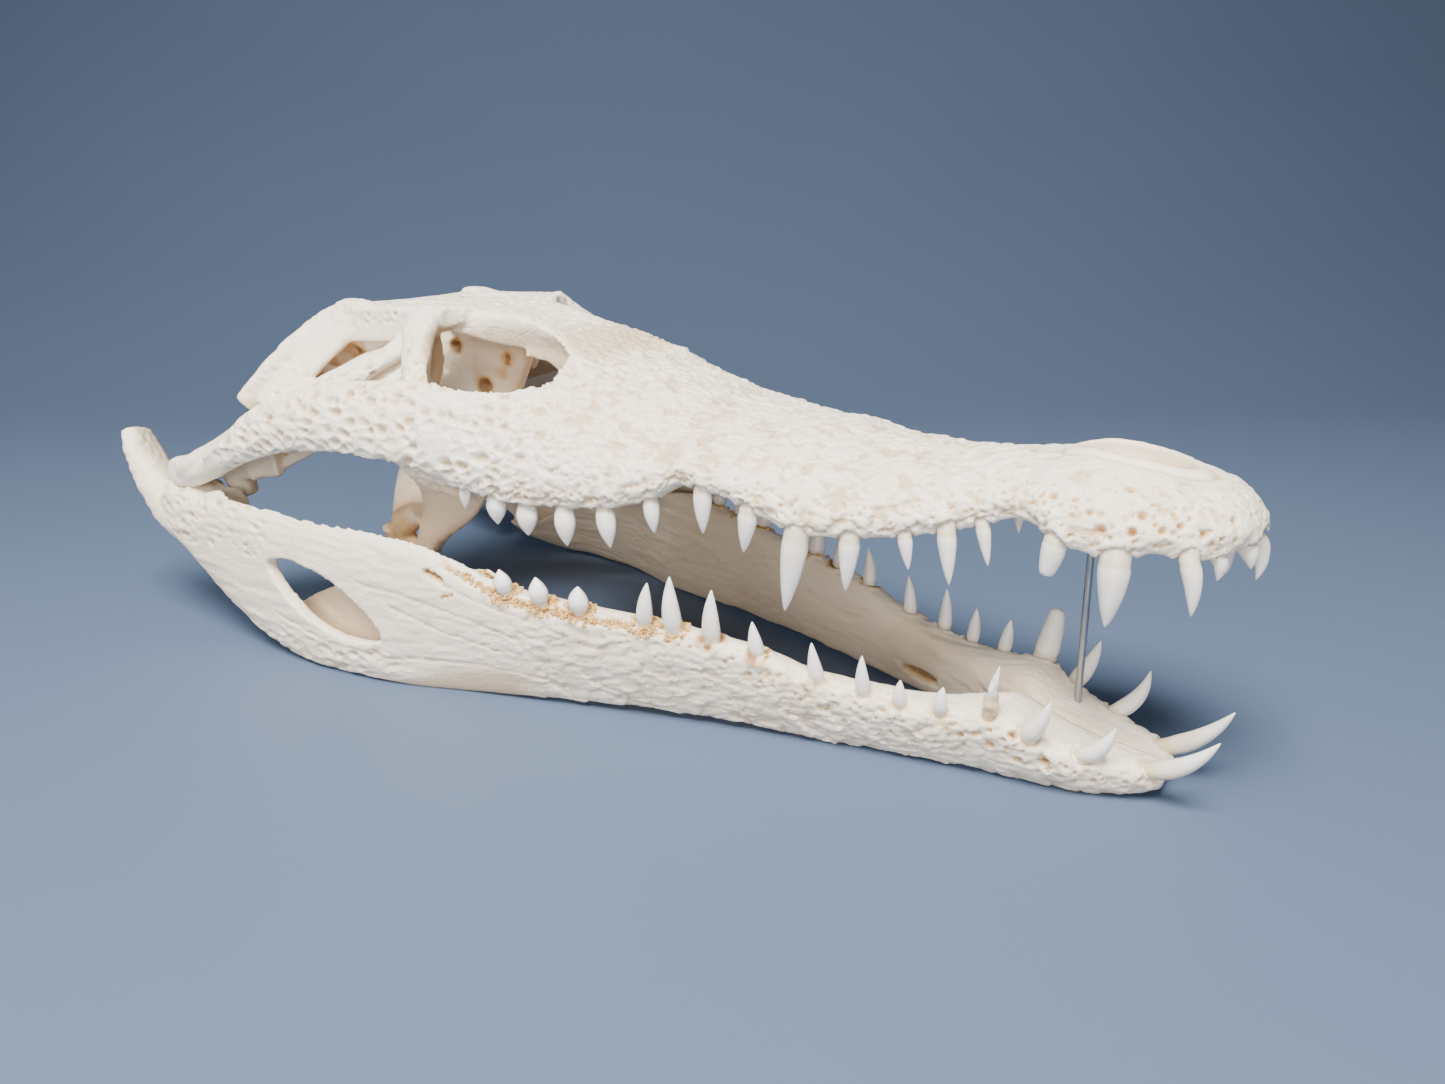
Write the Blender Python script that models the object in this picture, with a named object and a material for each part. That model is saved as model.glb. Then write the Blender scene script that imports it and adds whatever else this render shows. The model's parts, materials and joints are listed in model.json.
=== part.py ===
# A crocodile skull, life size, with a metal rod that props its jaws open.
# Lengths are in millimetres until a mesh is made, which is in metres.
# X runs forward to the snout, Y to the animal's left, Z up from the floor.
# Each bone is lofted or swept from named sizes, the bones of one block are fused
# into one skin, its openings are cut, and thin cuts then part it into its nodes.

import math

import bmesh
import bpy
import numpy as np

metre = 0.001
gap = 0.3  # between nodes that meet
skinVoxel = 2.1  # grain of the fused skin
skinSmoothing = 2
restTilt = math.radians(0.9)  # the skull leans forward until its chin touches the floor

# Upper skull
snoutRear = -34.0
snoutTip = 268.2
cheekCut = 18.7  # the snout ends here, in front of the orbits
sideCut = 46.0  # the cheeks lie outside this half width
palateCut = 104.0  # the pterygoid and palatines lie below this height
tableRear = -133.0
tableFront = -58.0
tableHalfWidth = 43.5
tableTop = 156.5
nostril = dict(x=227.0, z=131.5, long=21.0, wide=12.0, deep=17.0)
upperWindow = dict(x=-96.0, y=22.0, long=17.0, wide=11.0)

# Jaw joint
jointX = -192.0
jointZ = 76.0
condyleRadius = 7.5
condyleInner = 74.0
condyleOuter = 99.0

# Lower jaw
jawWindow = dict(x=-86.0, z=34.0, long=35.0, high=12.8, tilt=-20.0)

# Prop rod
rodRadius = 1.35
rodFoot = (213.2, 12.0, 16.0)
rodHead = (211.4, 12.0, 112.0)

rootDepth = 5.5  # least depth of a tooth in its bone
rootInward = 2.2

# Faces kept on each node before its teeth are added
faceBudget = dict(cranium=6780, jaw=1500)

# Upper teeth of one side, front to rear: x, half width of the row, length on the
# right and on the left, forward lean of the tip, radius, and how leaf-shaped it is
upperTeeth = (
    (263.0, 7.5, 8.0, 16.5, 3.6, 3.4, 0.0),
    (257.5, 18.0, 9.0, 10.0, 1.6, 2.7, 0.0),
    (251.5, 26.5, 18.0, 20.0, 3.0, 3.3, 0.0),
    (231.5, 33.0, 23.5, 15.0, -0.6, 5.2, 0.0),
    (212.5, 33.0, 12.5, 12.0, -2.2, 4.1, 0.0),
    (186.0, 29.0, 14.5, 14.0, 3.4, 2.6, 0.0),
    (175.0, 33.0, 19.5, 18.5, 2.6, 3.5, 0.0),
    (162.0, 38.0, 12.0, 13.0, 2.4, 2.7, 0.0),
    (144.0, 43.5, 20.5, 19.5, -0.8, 4.0, 0.0),
    (124.6, 47.0, 31.0, 29.0, -4.2, 5.3, 0.0),
    (105.0, 48.5, 17.0, 16.0, -2.0, 4.0, 0.1),
    (85.0, 49.5, 17.5, 17.0, 0.4, 3.9, 0.2),
    (62.5, 52.5, 13.5, 14.0, 2.0, 3.6, 0.4),
    (43.5, 57.5, 16.5, 16.0, 2.8, 4.3, 0.6),
    (27.0, 62.5, 16.5, 15.5, 1.0, 4.5, 0.8),
    (10.5, 66.5, 14.5, 14.0, 0.2, 4.4, 1.0),
    (-3.0, 70.0, 13.5, 11.5, 0.4, 4.2, 1.0),
    (-16.0, 74.0, 11.5, 9.0, -0.8, 2.7, 0.8),
)
# Lower teeth, in the same order of values
lowerTeeth = (
    (246.0, 10.0, 25.5, 26.5, 20.5, 3.7, 0.0),
    (225.0, 20.0, 16.5, 20.5, 10.5, 3.4, 0.0),
    (207.5, 26.5, 16.0, 18.5, 7.5, 3.5, 0.0),
    (194.0, 29.5, 18.5, 19.5, 3.0, 4.9, 0.0),
    (176.5, 31.5, 9.0, 12.5, 1.5, 2.9, 0.2),
    (162.0, 34.0, 9.0, 13.5, 0.5, 2.8, 0.2),
    (148.5, 36.5, 14.0, 16.5, -0.6, 3.0, 0.1),
    (131.0, 40.0, 14.0, 15.5, -2.4, 3.1, 0.1),
    (108.0, 45.8, 12.3, 15.5, -2.0, 3.2, 0.2),
    (90.0, 50.8, 19.5, 18.5, 0.8, 3.9, 0.2),
    (75.0, 55.4, 21.0, 20.0, -0.6, 4.2, 0.2),
    (63.5, 59.0, 17.0, 17.5, 2.8, 3.6, 0.3),
    (37.5, 67.5, 9.8, 11.0, 0.6, 4.3, 0.8),
    (21.5, 72.4, 10.0, 10.5, -1.4, 4.0, 1.0),
    (5.5, 76.0, 9.0, 9.0, -2.0, 3.8, 1.0),
)

# The fourth lower tooth on the right is worn to a thin shard
shard = dict(order=3, thin=0.5)


def along(*pairs):
    """A smooth value along x through (x, value) pairs, with no overshoot."""
    xs, ys = np.array(sorted(pairs), float).T
    step = np.diff(xs)
    rise = np.diff(ys) / step
    slope = np.zeros_like(ys)
    slope[0], slope[-1] = rise[0], rise[-1]
    same = rise[:-1] * rise[1:] > 0
    with np.errstate(divide="ignore", invalid="ignore"):
        mean = 2 * rise[:-1] * rise[1:] / (rise[:-1] + rise[1:])
    slope[1:-1] = np.where(same, mean, 0)

    def value(x):
        x = np.clip(x, xs[0], xs[-1])
        k = np.clip(np.searchsorted(xs, x) - 1, 0, len(step) - 1)
        t = (x - xs[k]) / step[k]
        start = ys[k] * (1 + 2 * t) * (1 - t) ** 2 + slope[k] * step[k] * t * (1 - t) ** 2
        end = ys[k + 1] * t * t * (3 - 2 * t) + slope[k + 1] * step[k] * t * t * (t - 1)
        return start + end

    return value


# Outline of the upper jaw: half width, height of its tooth margin and of its roof
upperHalfWidth = along(
    (-40, 86), (-22, 82.5), (-10, 79.5), (2, 76.5), (17, 72.5), (32, 68), (49, 63), (67, 58),
    (88, 54), (106, 53), (127, 51.5), (146, 47.5), (163, 41), (175, 35.5), (188, 31.5),
    (196, 31), (203, 33), (210, 36), (220, 37.5), (231, 37), (242, 34), (252, 28), (260, 22.5),
    (265, 15.5), (268.2, 7),
)
upperMargin = along(
    (-40, 99), (-22, 93.6), (-10, 90.6), (2, 87.9), (17, 86.2), (32, 86.6), (49, 88.6),
    (67, 94.6), (77, 100.2), (88, 99.3), (106, 94.6), (127, 89), (146, 90.4), (163, 92.6),
    (175, 95.6), (188, 99.4), (196, 102.6), (203, 103), (210, 99.6), (218, 97.6),
    (231, 96.6), (242, 99.4), (252, 98), (259, 99.5), (268.2, 102),
)
upperRoof = along(
    (-40, 152), (-8, 147), (22, 137.5), (48, 131.8), (73, 124.8), (97, 121.4), (119, 121.6),
    (132, 118.3), (141, 118), (160, 117.6), (179, 119.3), (197, 121.2), (207, 123.3), (217, 125.8),
    (230, 125), (246, 121), (255, 119), (262, 115.6), (266, 111), (268.2, 107),
)
upperPower = along((-40, 2.4), (10, 2.3), (50, 2.0), (150, 2.0), (268.2, 2.0))
# Plan of the eye opening: distance forward and half width
eyeRim = (
    (8.7, 46), (4.5, 34), (-8, 25.5), (-20, 21), (-34, 20), (-49, 25), (-60, 32), (-62, 40),
    (-57, 50), (-49, 60), (-40, 69), (-32, 72), (-18, 68.5), (-5, 62.5), (4, 55),
)

# Outline of each half of the lower jaw
jawHalfWidthTop = along(
    (-205, 101), (-180, 102), (-140, 103), (-100, 102), (-60, 98), (-20, 89), (20, 78),
    (60, 66), (100, 54), (140, 43.5), (164, 38), (180, 35.5), (196, 33.5), (210, 30),
    (222, 26), (236, 19), (245, 14), (250, 8),
)
jawHalfWidthBase = along(
    (-205, 100), (-140, 101), (-100, 100), (-60, 94.5), (-20, 80.5), (20, 67), (60, 54.5),
    (100, 43), (140, 33), (180, 25), (220, 19), (240, 12), (250, 5),
)
jawInner = along(
    (-205, 76), (-175, 76), (-140, 78), (-98, 78), (-62, 76), (-40, 74), (-20, 70), (0, 66),
    (20, 62), (40, 56), (60, 50), (80, 44.5), (97, 40), (111, 36), (133, 29), (150, 22.5),
    (164, 17), (175, 12), (186, 6.5), (196, 1.5), (203, -2), (250, -2),
)
jawTop = along(
    (-205, 56), (-190, 62), (-178, 66.5), (-165, 70.8), (-142, 72.5), (-98, 71.5), (-62, 70.8), (-37, 67.8),
    (-14, 59.6), (9, 50.6), (25, 49.0), (42, 47.4), (65, 45.6), (81, 44), (97, 41.6), (111, 38.3),
    (133, 32), (150, 30.4), (164, 28.7), (178, 29.4), (196, 32.5), (207, 26.5), (228, 20.5),
    (245, 18), (250, 15),
)
jawBase = along(
    (-205, 43.5), (-187, 31), (-169, 18.5), (-151, 8.5), (-130, 1.4), (-110, -0.9), (-91, -0.8),
    (-61, -1.0), (-37, -1.6), (-4, 0.2), (40, 3.0), (82, 4.0), (122, 2.8), (160, 2.6), (190, 3.0),
    (225, 2.8), (240, 4.6), (250, 8),
)
# Top of the low inner wall beside the muscle hollow
jawInnerWall = along(
    (-165, 12), (-142, 13), (-130, 17), (-105, 30), (-94, 35), (-60, 45), (-30, 52), (0, 58),
    (15, 62),
)


def settled(points):
    """Points leant forward onto the chin."""
    x, y, z = np.asarray(points, float).T
    c, s = math.cos(restTilt), math.sin(restTilt)
    return np.stack([x * c + z * s, y, z * c - x * s], 1)


def meshFrom(name, points, faces):
    """A mesh object from points in millimetres, its faces turned outward."""
    mesh = bpy.data.meshes.new(name)
    mesh.from_pydata([tuple(p) for p in np.asarray(points) * metre], [], faces)
    shape = bmesh.new()
    shape.from_mesh(mesh)
    bmesh.ops.recalc_face_normals(shape, faces=shape.faces)
    shape.to_mesh(mesh)
    shape.free()
    obj = bpy.data.objects.new(name, mesh)
    bpy.context.scene.collection.objects.link(obj)
    return obj


def loft(name, rings, lean=True):
    """A closed skin over rings of equally many points, its ends closed by fans."""
    rings = [np.asarray(r, float) for r in rings]
    count = len(rings[0])
    points = np.concatenate(rings + [rings[0].mean(0)[None], rings[-1].mean(0)[None]])
    points = settled(points) if lean else points
    first, last = len(points) - 2, len(points) - 1
    faces = []
    for i in range(len(rings) - 1):
        for j in range(count):
            k = (j + 1) % count
            faces.append((i * count + j, i * count + k, (i + 1) * count + k, (i + 1) * count + j))
    base = (len(rings) - 1) * count
    for j in range(count):
        k = (j + 1) % count
        faces.append((first, k, j))
        faces.append((last, base + j, base + k))
    return meshFrom(name, points, faces)


def rounded(count, wide, high, power):
    """The two coordinates of a superellipse."""
    turn = np.linspace(0, 2 * np.pi, count, endpoint=False)
    c, s = np.cos(turn), np.sin(turn)
    return wide * np.sign(c) * abs(c) ** (2 / power), high * np.sign(s) * abs(s) ** (2 / power)


def through(points, steps):
    """Points on a smooth curve through the given ones, which may carry more than three values."""
    points = np.asarray(points, float)
    spots = np.linspace(0, len(points) - 1, steps)
    columns = [along(*enumerate(points[:, c]))(spots) for c in range(points.shape[1])]
    return np.stack(columns, 1)


def closedCurve(points, steps):
    """A smooth closed curve through the points."""
    points = np.array(points, float)
    spots = np.linspace(0, len(points), steps, endpoint=False)
    k = spots.astype(int)
    t = (spots - k)[:, None]
    a, b, c, d = (points[(k + j) % len(points)] for j in (-1, 0, 1, 2))
    return b + 0.5 * t * (c - a + t * (2 * a - 5 * b + 4 * c - d + t * (3 * (b - c) + d - a)))


def sweep(name, stations, across, power=2.4, count=16, steps=14):
    """A bar along stations (x, y, z, half width along `across`, half thickness)."""
    stations = through(stations, steps)
    path = stations[:, :3]
    ahead = np.gradient(path, axis=0)
    ahead /= np.linalg.norm(ahead, axis=1)[:, None]
    across = through(np.atleast_2d(across), steps) if np.ndim(across) > 1 else np.tile(across, (steps, 1))
    side = across - (across * ahead).sum(1)[:, None] * ahead
    side /= np.linalg.norm(side, axis=1)[:, None]
    up = np.cross(ahead, side)
    rings = []
    for k in range(steps):
        u, v = rounded(count, stations[k, 3], stations[k, 4], power)
        rings.append(path[k] + u[:, None] * side[k] + v[:, None] * up[k])
    return loft(name, rings)


def ball(name, centre, radii, turns=18, rings=11):
    """A closed ellipsoid."""
    rows = []
    for k in range(rings):
        lift = math.pi * (k + 0.5) / rings - math.pi / 2
        u, v = rounded(turns, radii[0] * math.cos(lift), radii[1] * math.cos(lift), 2)
        z = centre[2] + radii[2] * math.sin(lift) + 0 * u
        rows.append(np.stack([centre[0] + u, centre[1] + v, z], 1))
    return loft(name, rows)


def block(name, low, high):
    """A box between two corners."""
    (a, b, c), (d, e, f) = low, high
    bottom = [(a, b, c), (d, b, c), (d, e, c), (a, e, c)]
    top = [(x, y, f) for x, y, z in bottom]
    return loft(name, [bottom, top], lean=False)


def mirrored(points):
    """The same stations on the other side of the body."""
    points = np.array(points, float)
    points[..., 1] *= -1
    return points


def bothSides(make, name, stations, across, **shape):
    """One bar on each side, from the stations of the right one."""
    make(name + "R", stations, across, **shape)
    flipped = mirrored(np.atleast_2d(across))
    make(name + "L", mirrored(stations), flipped if np.ndim(across) > 1 else flipped[0], **shape)


def applyModifiers(obj):
    graph = bpy.context.evaluated_depsgraph_get()
    mesh = bpy.data.meshes.new_from_object(obj.evaluated_get(graph))
    obj.modifiers.clear()
    obj.data = mesh


def remove(objects):
    for obj in list(objects):
        bpy.data.objects.remove(obj, do_unlink=True)


def joined(name, objects):
    """One object with the loose shells of all the given ones."""
    shape = bmesh.new()
    for obj in objects:
        shape.from_mesh(obj.data)
    mesh = bpy.data.meshes.new(name)
    shape.to_mesh(mesh)
    shape.free()
    remove(objects)
    obj = bpy.data.objects.new(name, mesh)
    bpy.context.scene.collection.objects.link(obj)
    return obj


def largestShell(obj):
    """Keeps only the largest closed surface."""
    shape = bmesh.new()
    shape.from_mesh(obj.data)
    seen, shells = set(), []
    for start in shape.faces:
        if start in seen:
            continue
        seen.add(start)
        stack, shell = [start], []
        while stack:
            face = stack.pop()
            shell.append(face)
            for edge in face.edges:
                for other in edge.link_faces:
                    if other not in seen:
                        seen.add(other)
                        stack.append(other)
        shells.append(shell)
    shells.sort(key=lambda s: sum(f.calc_area() for f in s))
    doomed = [f for shell in shells[:-1] for f in shell]
    bmesh.ops.delete(shape, geom=doomed, context="FACES")
    shape.to_mesh(obj.data)
    shape.free()


def fuse(obj, voxel, smoothing):
    """One closed skin round overlapping shells."""
    skin = obj.modifiers.new("skin", "REMESH")
    skin.mode = "VOXEL"
    skin.voxel_size = voxel * metre
    soften = obj.modifiers.new("soften", "SMOOTH")
    soften.factor = 0.5
    soften.iterations = smoothing
    applyModifiers(obj)


def boolean(obj, tools, operation, solver="EXACT"):
    """Cuts the tools from the object, keeps what they share, or joins them."""
    for tool in tools:
        cut = obj.modifiers.new(operation, "BOOLEAN")
        cut.operation = operation
        cut.solver = solver
        cut.object = tool
        applyModifiers(obj)
    remove(tools)


def thinOut(obj, faces):
    """Brings the skin down to about this many triangles."""
    thin = obj.modifiers.new("thin", "DECIMATE")
    thin.use_collapse_triangulate = True
    triangles = sum(len(p.vertices) - 2 for p in obj.data.polygons)
    thin.ratio = min(1.0, faces / triangles)
    applyModifiers(obj)


def copyOf(obj, name):
    other = bpy.data.objects.new(name, obj.data.copy())
    bpy.context.scene.collection.objects.link(other)
    return other


def newObjects(make):
    """The objects that a function adds to the scene."""
    before = set(bpy.data.objects)
    make()
    return [o for o in bpy.data.objects if o not in before]


def snoutRing(x):
    """Section of the upper jaw: a low dome over a rounded margin and a flat palate."""
    wide, margin, roof, power = (float(f(x)) for f in (upperHalfWidth, upperMargin, upperRoof, upperPower))
    lip = min(5.0, wide * 0.25)
    turn = np.linspace(0, np.pi, 29)
    c, s = np.cos(turn), np.sin(turn)
    y = -wide * np.sign(c) * abs(c) ** (2 / power)
    z = margin + lip + (roof - margin - lip) * abs(s) ** (2 / power)
    edge = [(0.965, 0.35), (0.88, 0.0), (0.8, 0.15), (0.7, 1.1), (0.4, 1.25), (0.0, 1.3)]
    under = [(wide * a, margin + lip * b) for a, b in edge]
    under += [(-a, b) for a, b in reversed(under[:-1])]
    dome = list(zip(y, z))
    return [(x, a, b) for a, b in dome + under]


def upperJaw():
    front = [264.5, 266.4, 267.6, snoutTip]
    stations = np.concatenate([np.arange(snoutRear, 240, 5.0), np.arange(240, 264, 3.0), front])
    loft("snoutDome", [snoutRing(x) for x in stations])


def cheekBones():
    # Jugal and quadratojugal, one long bar from the jaw joint to the upper jaw
    rows = (
        (-188, 98, 70.5, 92, 77), (-177, 98, 73, 93, 83), (-160, 98, 79, 92, 93.5),
        (-135, 97.5, 89.5, 91, 112),
        (-102, 96, 98.6, 87.5, 124.5), (-76, 92, 101, 82.5, 130), (-40, 86, 99.4, 72, 132.5),
        (-22, 81, 94, 66, 130.5), (-9, 78, 91, 61, 129.5), (8, 74, 89, 52, 126), (24, 69, 89, 46, 120),
    )
    path = through(rows, 26)
    for side, sign in (("R", -1), ("L", 1)):
        rings = []
        for x, yLow, zLow, yUp, zUp in path:
            u, v = rounded(20, 1.0, 1.0, 2.6)
            thick = 4.2
            edge = np.array([yUp - yLow, zUp - zLow])
            length = np.linalg.norm(edge)
            edge /= length
            outward = np.array([edge[1], -edge[0]])
            middle = np.array([(yLow + yUp) / 2, (zLow + zUp) / 2]) - outward * thick * 0.6
            bulge = 3.0 * (1 - u * u)
            flat = middle + u[:, None] * edge * length / 2 + (v * thick + bulge)[:, None] * outward
            rings.append([(x, sign * a, b) for a, b in flat])
        loft("jugal" + side, rings)
    # Bar behind the eye
    bothSides(
        sweep, "postorbital",
        [(-73, -40, 152, 9.5, 6), (-66, -50, 144, 7.8, 5), (-56.5, -60, 136, 6.5, 4.6),
         (-45, -69, 127, 10.5, 5)],
        (1, 0, 0.2),
    )
    # Strut below the ear hollow, in front of the quadrate
    bothSides(
        sweep, "strut",
        [(-116, -86, 113, 7, 4), (-101, -74, 120.5, 4.6, 3.2), (-86, -60, 131.5, 4.4, 3.2),
         (-73, -44, 145, 6.5, 4)],
        (-0.8, 0.3, 0.5),
    )
    # Quadrate, a broad bar down to the jaw joint
    bothSides(
        sweep, "quadrate",
        [(-80, -27, 131, 13, 4.5), (-104, -34, 129, 21, 8), (-127, -52, 117.5, 20, 6.5),
         (-149, -69, 103.5, 17, 6), (-169, -82, 88.5, 15, 6), (-184, -87, 79.5, 14, 6.5),
         (-190, -87, 76, 12.5, 7)],
        [(0.1, -0.35, -0.9), (0.7, -0.6, 0.1), (0.6, -0.8, 0.1), (0.4, -0.9, 0.0), (0.2, -1, 0),
         (0, -1, 0), (0, -1, 0)],
    )
    # Sheet between the quadrate and the cheek bar
    bothSides(
        sweep, "quadrateWeb",
        [(-76, -40, 136, 13, 3.4), (-94, -52, 126, 18, 3.4), (-114, -68, 116, 19, 3.4),
         (-140, -83, 102, 17, 4), (-166, -90, 88, 12, 4.5)],
        [(0.5, -0.7, -0.4), (0.5, -0.7, -0.4), (0.5, -0.8, -0.3), (0.3, -1, -0.2), (0, -1, -0.2)],
    )
    # Jaw joint condyle and the knob on its inner side
    bothSides(
        sweep, "condyle",
        [(jointX, -condyleOuter, jointZ, 6.6, 6.6), (jointX, -95, jointZ, condyleRadius, condyleRadius),
         (jointX, -86, jointZ + 0.8, 6.8, 6.8), (jointX, -79, jointZ, condyleRadius, condyleRadius),
         (jointX, -condyleInner, jointZ, 6.2, 6.2)],
        (1, 0, 0), power=2.0, steps=9,
    )
    bothSides(
        sweep, "knob",
        [(-184, -77, 80, 8, 6), (-181, -72.5, 69, 8.5, 6.5), (-180, -70.5, 61, 6.5, 5.5)],
        (1, 0, 0), power=2.0, steps=7,
    )
    # Sheet on the inner side of the quadrate with its sharp corner
    bothSides(
        sweep, "quadrateFlange",
        [(-128, -26, 104, 12, 4), (-143, -48, 96, 13, 3.4), (-158, -68, 86, 12, 3.4),
         (-168, -76, 82, 12, 4)],
        [(0.9, -0.4, -0.1), (0.8, -0.4, -0.5), (0.6, -0.2, -0.8), (0.6, 0, -0.8)],
    )
    bothSides(
        sweep, "quadratePlate",
        [(-180, -75, 78, 9, 4), (-168, -73.5, 82, 11, 3.4), (-158, -72, 85, 12, 3.2),
         (-149, -71, 86, 11, 3)],
        (0, 0, 1), power=4,
    )
    # Ectopterygoid, from the cheek bar down to the flange inside the jaw
    bothSides(
        sweep, "flange",
        [(-34, -80, 106, 25, 5.5), (-38, -69, 96, 27, 5), (-41, -63, 84, 20, 4.6), (-46.5, -60, 74, 13, 4.6),
         (-54, -58, 65, 9, 4.6), (-61, -57.5, 55, 6.5, 4.8), (-64.5, -57, 47, 5, 4.6)],
        (1, 0, 0.08),
    )
    # Rough pad on the rear edge of that flange
    bothSides(
        sweep, "pad",
        [(-67, -57.5, 68, 5, 4.4), (-76, -57, 62, 7, 5), (-85, -56, 55, 8, 5),
         (-78, -56, 50, 6, 4.5), (-64, -56.5, 47, 5, 4.4)],
        (0.6, 0, 0.8), power=2.0,
    )
    # Wing of the pterygoid, from the middle out to that flange
    bothSides(
        sweep, "wing",
        [(-84, -2, 92, 30, 5), (-84, -22, 86, 27, 4), (-80, -40, 74, 20, 4), (-73, -56, 60, 12, 4.4)],
        (1, 0, 0),
    )


def skullRoof():
    # The flat table over the brain
    rows = []
    top = tableTop
    rims = ((tableRear, 36, 137, top - 4), (tableRear + 3, 42, 135.5, top - 1.5),
            (-118, tableHalfWidth, 137, top - 0.5),
            (-95, tableHalfWidth, 139, top), (-75, tableHalfWidth, 142, top + 1),
            (tableFront - 4, 40, 147, top + 1),
            (tableFront, 32, 149, top))
    for x, wide, low, high in through(rims, 18):
        u, v = rounded(28, wide, 1.0, 5)
        dish = 1.6 * np.clip(1 - (u / wide) ** 2, 0, 1)
        z = np.where(v > 0, high - dish + (v - 1) * 3, low + (v + 1) * 3 + 2 * dish)
        rows.append(np.stack([x + 0 * u, u, z], 1))
    loft("table", rows)
    # Horn at each rear corner of the table
    bothSides(
        sweep, "horn",
        [(-110, -38, 151.5, 5, 4.5), (-123, -38.5, 153, 5, 4.5), (-132, -38.5, 152, 4.5, 4)],
        (0, 1, 0), steps=8,
    )
    # Frontal, its rims raised beside the eyes
    rows = []
    brow = ((-78, 33, 147, top), (-66, 31, 143, top + 1), (-50, 25, 139, 157), (-34, 21.5, 137.5, 154.5),
            (-20, 22, 136, 151.5), (-6, 27, 132, 148), (8, 34, 126, 143), (22, 36, 124, 137))
    for x, wide, low, high in through(brow, 20):
        u, v = rounded(28, wide, 1.0, 3.2)
        dish = 3.0 * np.clip(1 - (u / wide) ** 2, 0, 1) ** 1.5
        z = np.where(v > 0, high - dish + (v - 1) * (high - low) * 0.45, low + (v + 1) * (high - low) * 0.3)
        rows.append(np.stack([x + 0 * u, u, z], 1))
    loft("frontal", rows)
    # Braincase under the table
    case = ((-136, 26, 108, 150), (-124, 27, 100, 150), (-108, 22, 98, 150), (-90, 15, 105.5, 152),
            (-76, 12, 106, 152), (-64, 8.5, 108, 152), (-56, 6.5, 118, 153), (-49, 5.5, 132, 153))
    rows = []
    for x, wide, low, high in through(case, 16):
        u, v = rounded(20, wide, (high - low) / 2, 2.6)
        rows.append(np.stack([x + 0 * u, u, (high + low) / 2 + v], 1))
    loft("braincase", rows)
    # Rear wall, spreading to a wing on each side
    bothSides(
        sweep, "rearWing",
        [(-136, -4, 132, 20, 6), (-138, -24, 133, 19, 5.5), (-145, -42, 129, 18, 5),
         (-157, -58, 118, 14, 4.6),
         (-168, -70, 106, 10, 4.4)],
        [(0, 0, 1), (0, 0, 1), (0.2, 0, 1), (0.5, 0, 1), (0.6, 0, 0.9)],
    )
    # Sheet from the rear corner of the table down to the tip of that wing
    bothSides(
        sweep, "rearEdge",
        [(-124, -39, 149, 9, 4.5), (-137, -46, 140, 12, 4), (-150, -57, 125, 13, 4),
         (-160, -68, 108, 9, 4)],
        (0.75, -0.1, -0.62),
    )
    # Wall of the ear hollow, between the braincase and the quadrate
    bothSides(
        sweep, "earWall",
        [(-140, -36, 127, 9, 3.4), (-120, -33, 131, 13, 3.4), (-100, -31, 134, 13, 3.4),
         (-82, -27, 138, 12, 3.4)],
        (0, 0.15, 1), steps=8,
    )
    # Occipital condyle under the opening for the spinal cord
    ball("neckBall", (-146, 0, 114), (9, 7.5, 7))
    # Stem from the braincase down to the pterygoid
    column = [(-122, 0, 112, 14, 16), (-112, 0, 100, 16, 14), (-100, 0, 90, 20, 12)]
    sweep("stem", column, (1, 0, 0), steps=8)


def palateBones():
    # Palatines between the openings of the palate
    rows = []
    bars = ((-100, 22, 85, 96), (-70, 20, 87, 97), (-40, 14, 89, 98), (-5, 14, 90, 99), (30, 20, 91, 102))
    for x, wide, low, high in through(bars, 14):
        u, v = rounded(16, wide, (high - low) / 2, 2.8)
        rows.append(np.stack([x + 0 * u, u, (high + low) / 2 + v], 1))
    loft("palatines", rows)


def craniumOpenings():
    cutters = []
    for sign in (-1, 1):
        # Eye opening, which narrows downward inside the cheek bar
        rim = closedCurve(eyeRim, 40)
        rings = []
        for z, most, tuck in ((62, 46, 0), (98, 48, 0), (108, 63, 0), (120, 66, 0), (127, 80, 1.5),
                              (140, 82, 2.5), (148, 83, 0.5), (175, 84, 0)):
            rings.append([(x, sign * (min(y, most) - tuck * (y < 34)), z) for x, y in rim])
        cutters.append(loft("orbitCut", rings))
        # Openings in the table
        w = upperWindow
        u, v = rounded(20, w["long"], w["wide"], 2.3)
        rings = []
        for z, spread in ((122, 0.8), (148, 0.9), (156, 1.0), (166, 1.1)):
            rings.append(np.stack([w["x"] + u * spread, sign * (w["y"] + v * spread), z + 0 * u], 1))
        cutters.append(loft("windowCut", rings))
    # Room between the eye sockets, under the frontal
    low = ((-44, 24, 136), (-20, 26, 134), (-6, 28, 130), (6, 30, 127), (12, 30, 120))
    high = ((-44, 11, 146), (-34, 11, 144.5), (-20, 11, 139), (-6, 12, 134))
    for room in (low, high):
        rows = []
        for x, wide, top in room:
            rows.append([(x, -wide, 102), (x, wide, 102), (x, wide, top), (x, -wide, top)])
        cutters.append(loft("betweenEyes", rows))
    # Hollow of the ear, under the edge of the table
    cutters += [ball("earCut", (-132, sign * 38.5, 129), (12, 8, 6.5)) for sign in (-1, 1)]
    n = nostril
    cutters.append(ball("nostrilCut", (n["x"], 0, n["z"]), (n["long"], n["wide"], n["deep"])))
    cord = [(-160, 0, 126, 7, 6), (-126, 0, 126, 6, 5)]
    cutters.append(sweep("cordCut", cord, (0, 1, 0), power=2, steps=4))
    return cutters


def jawSides(x, rise):
    """Half widths of the inner and outer face, at a share of the height."""
    outTop, outBase, inner = (float(f(x)) for f in (jawHalfWidthTop, jawHalfWidthBase, jawInner))
    outside = outBase + (outTop - outBase) * rise + 6 * rise * (1 - rise)
    foot = inner + (max(inner, outBase - 11) - inner) * np.clip((x + 140) / 40, 0, 1)
    inside = foot + (inner - foot) * np.clip(rise * 1.6, 0, 1)
    return inside, outside


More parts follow.
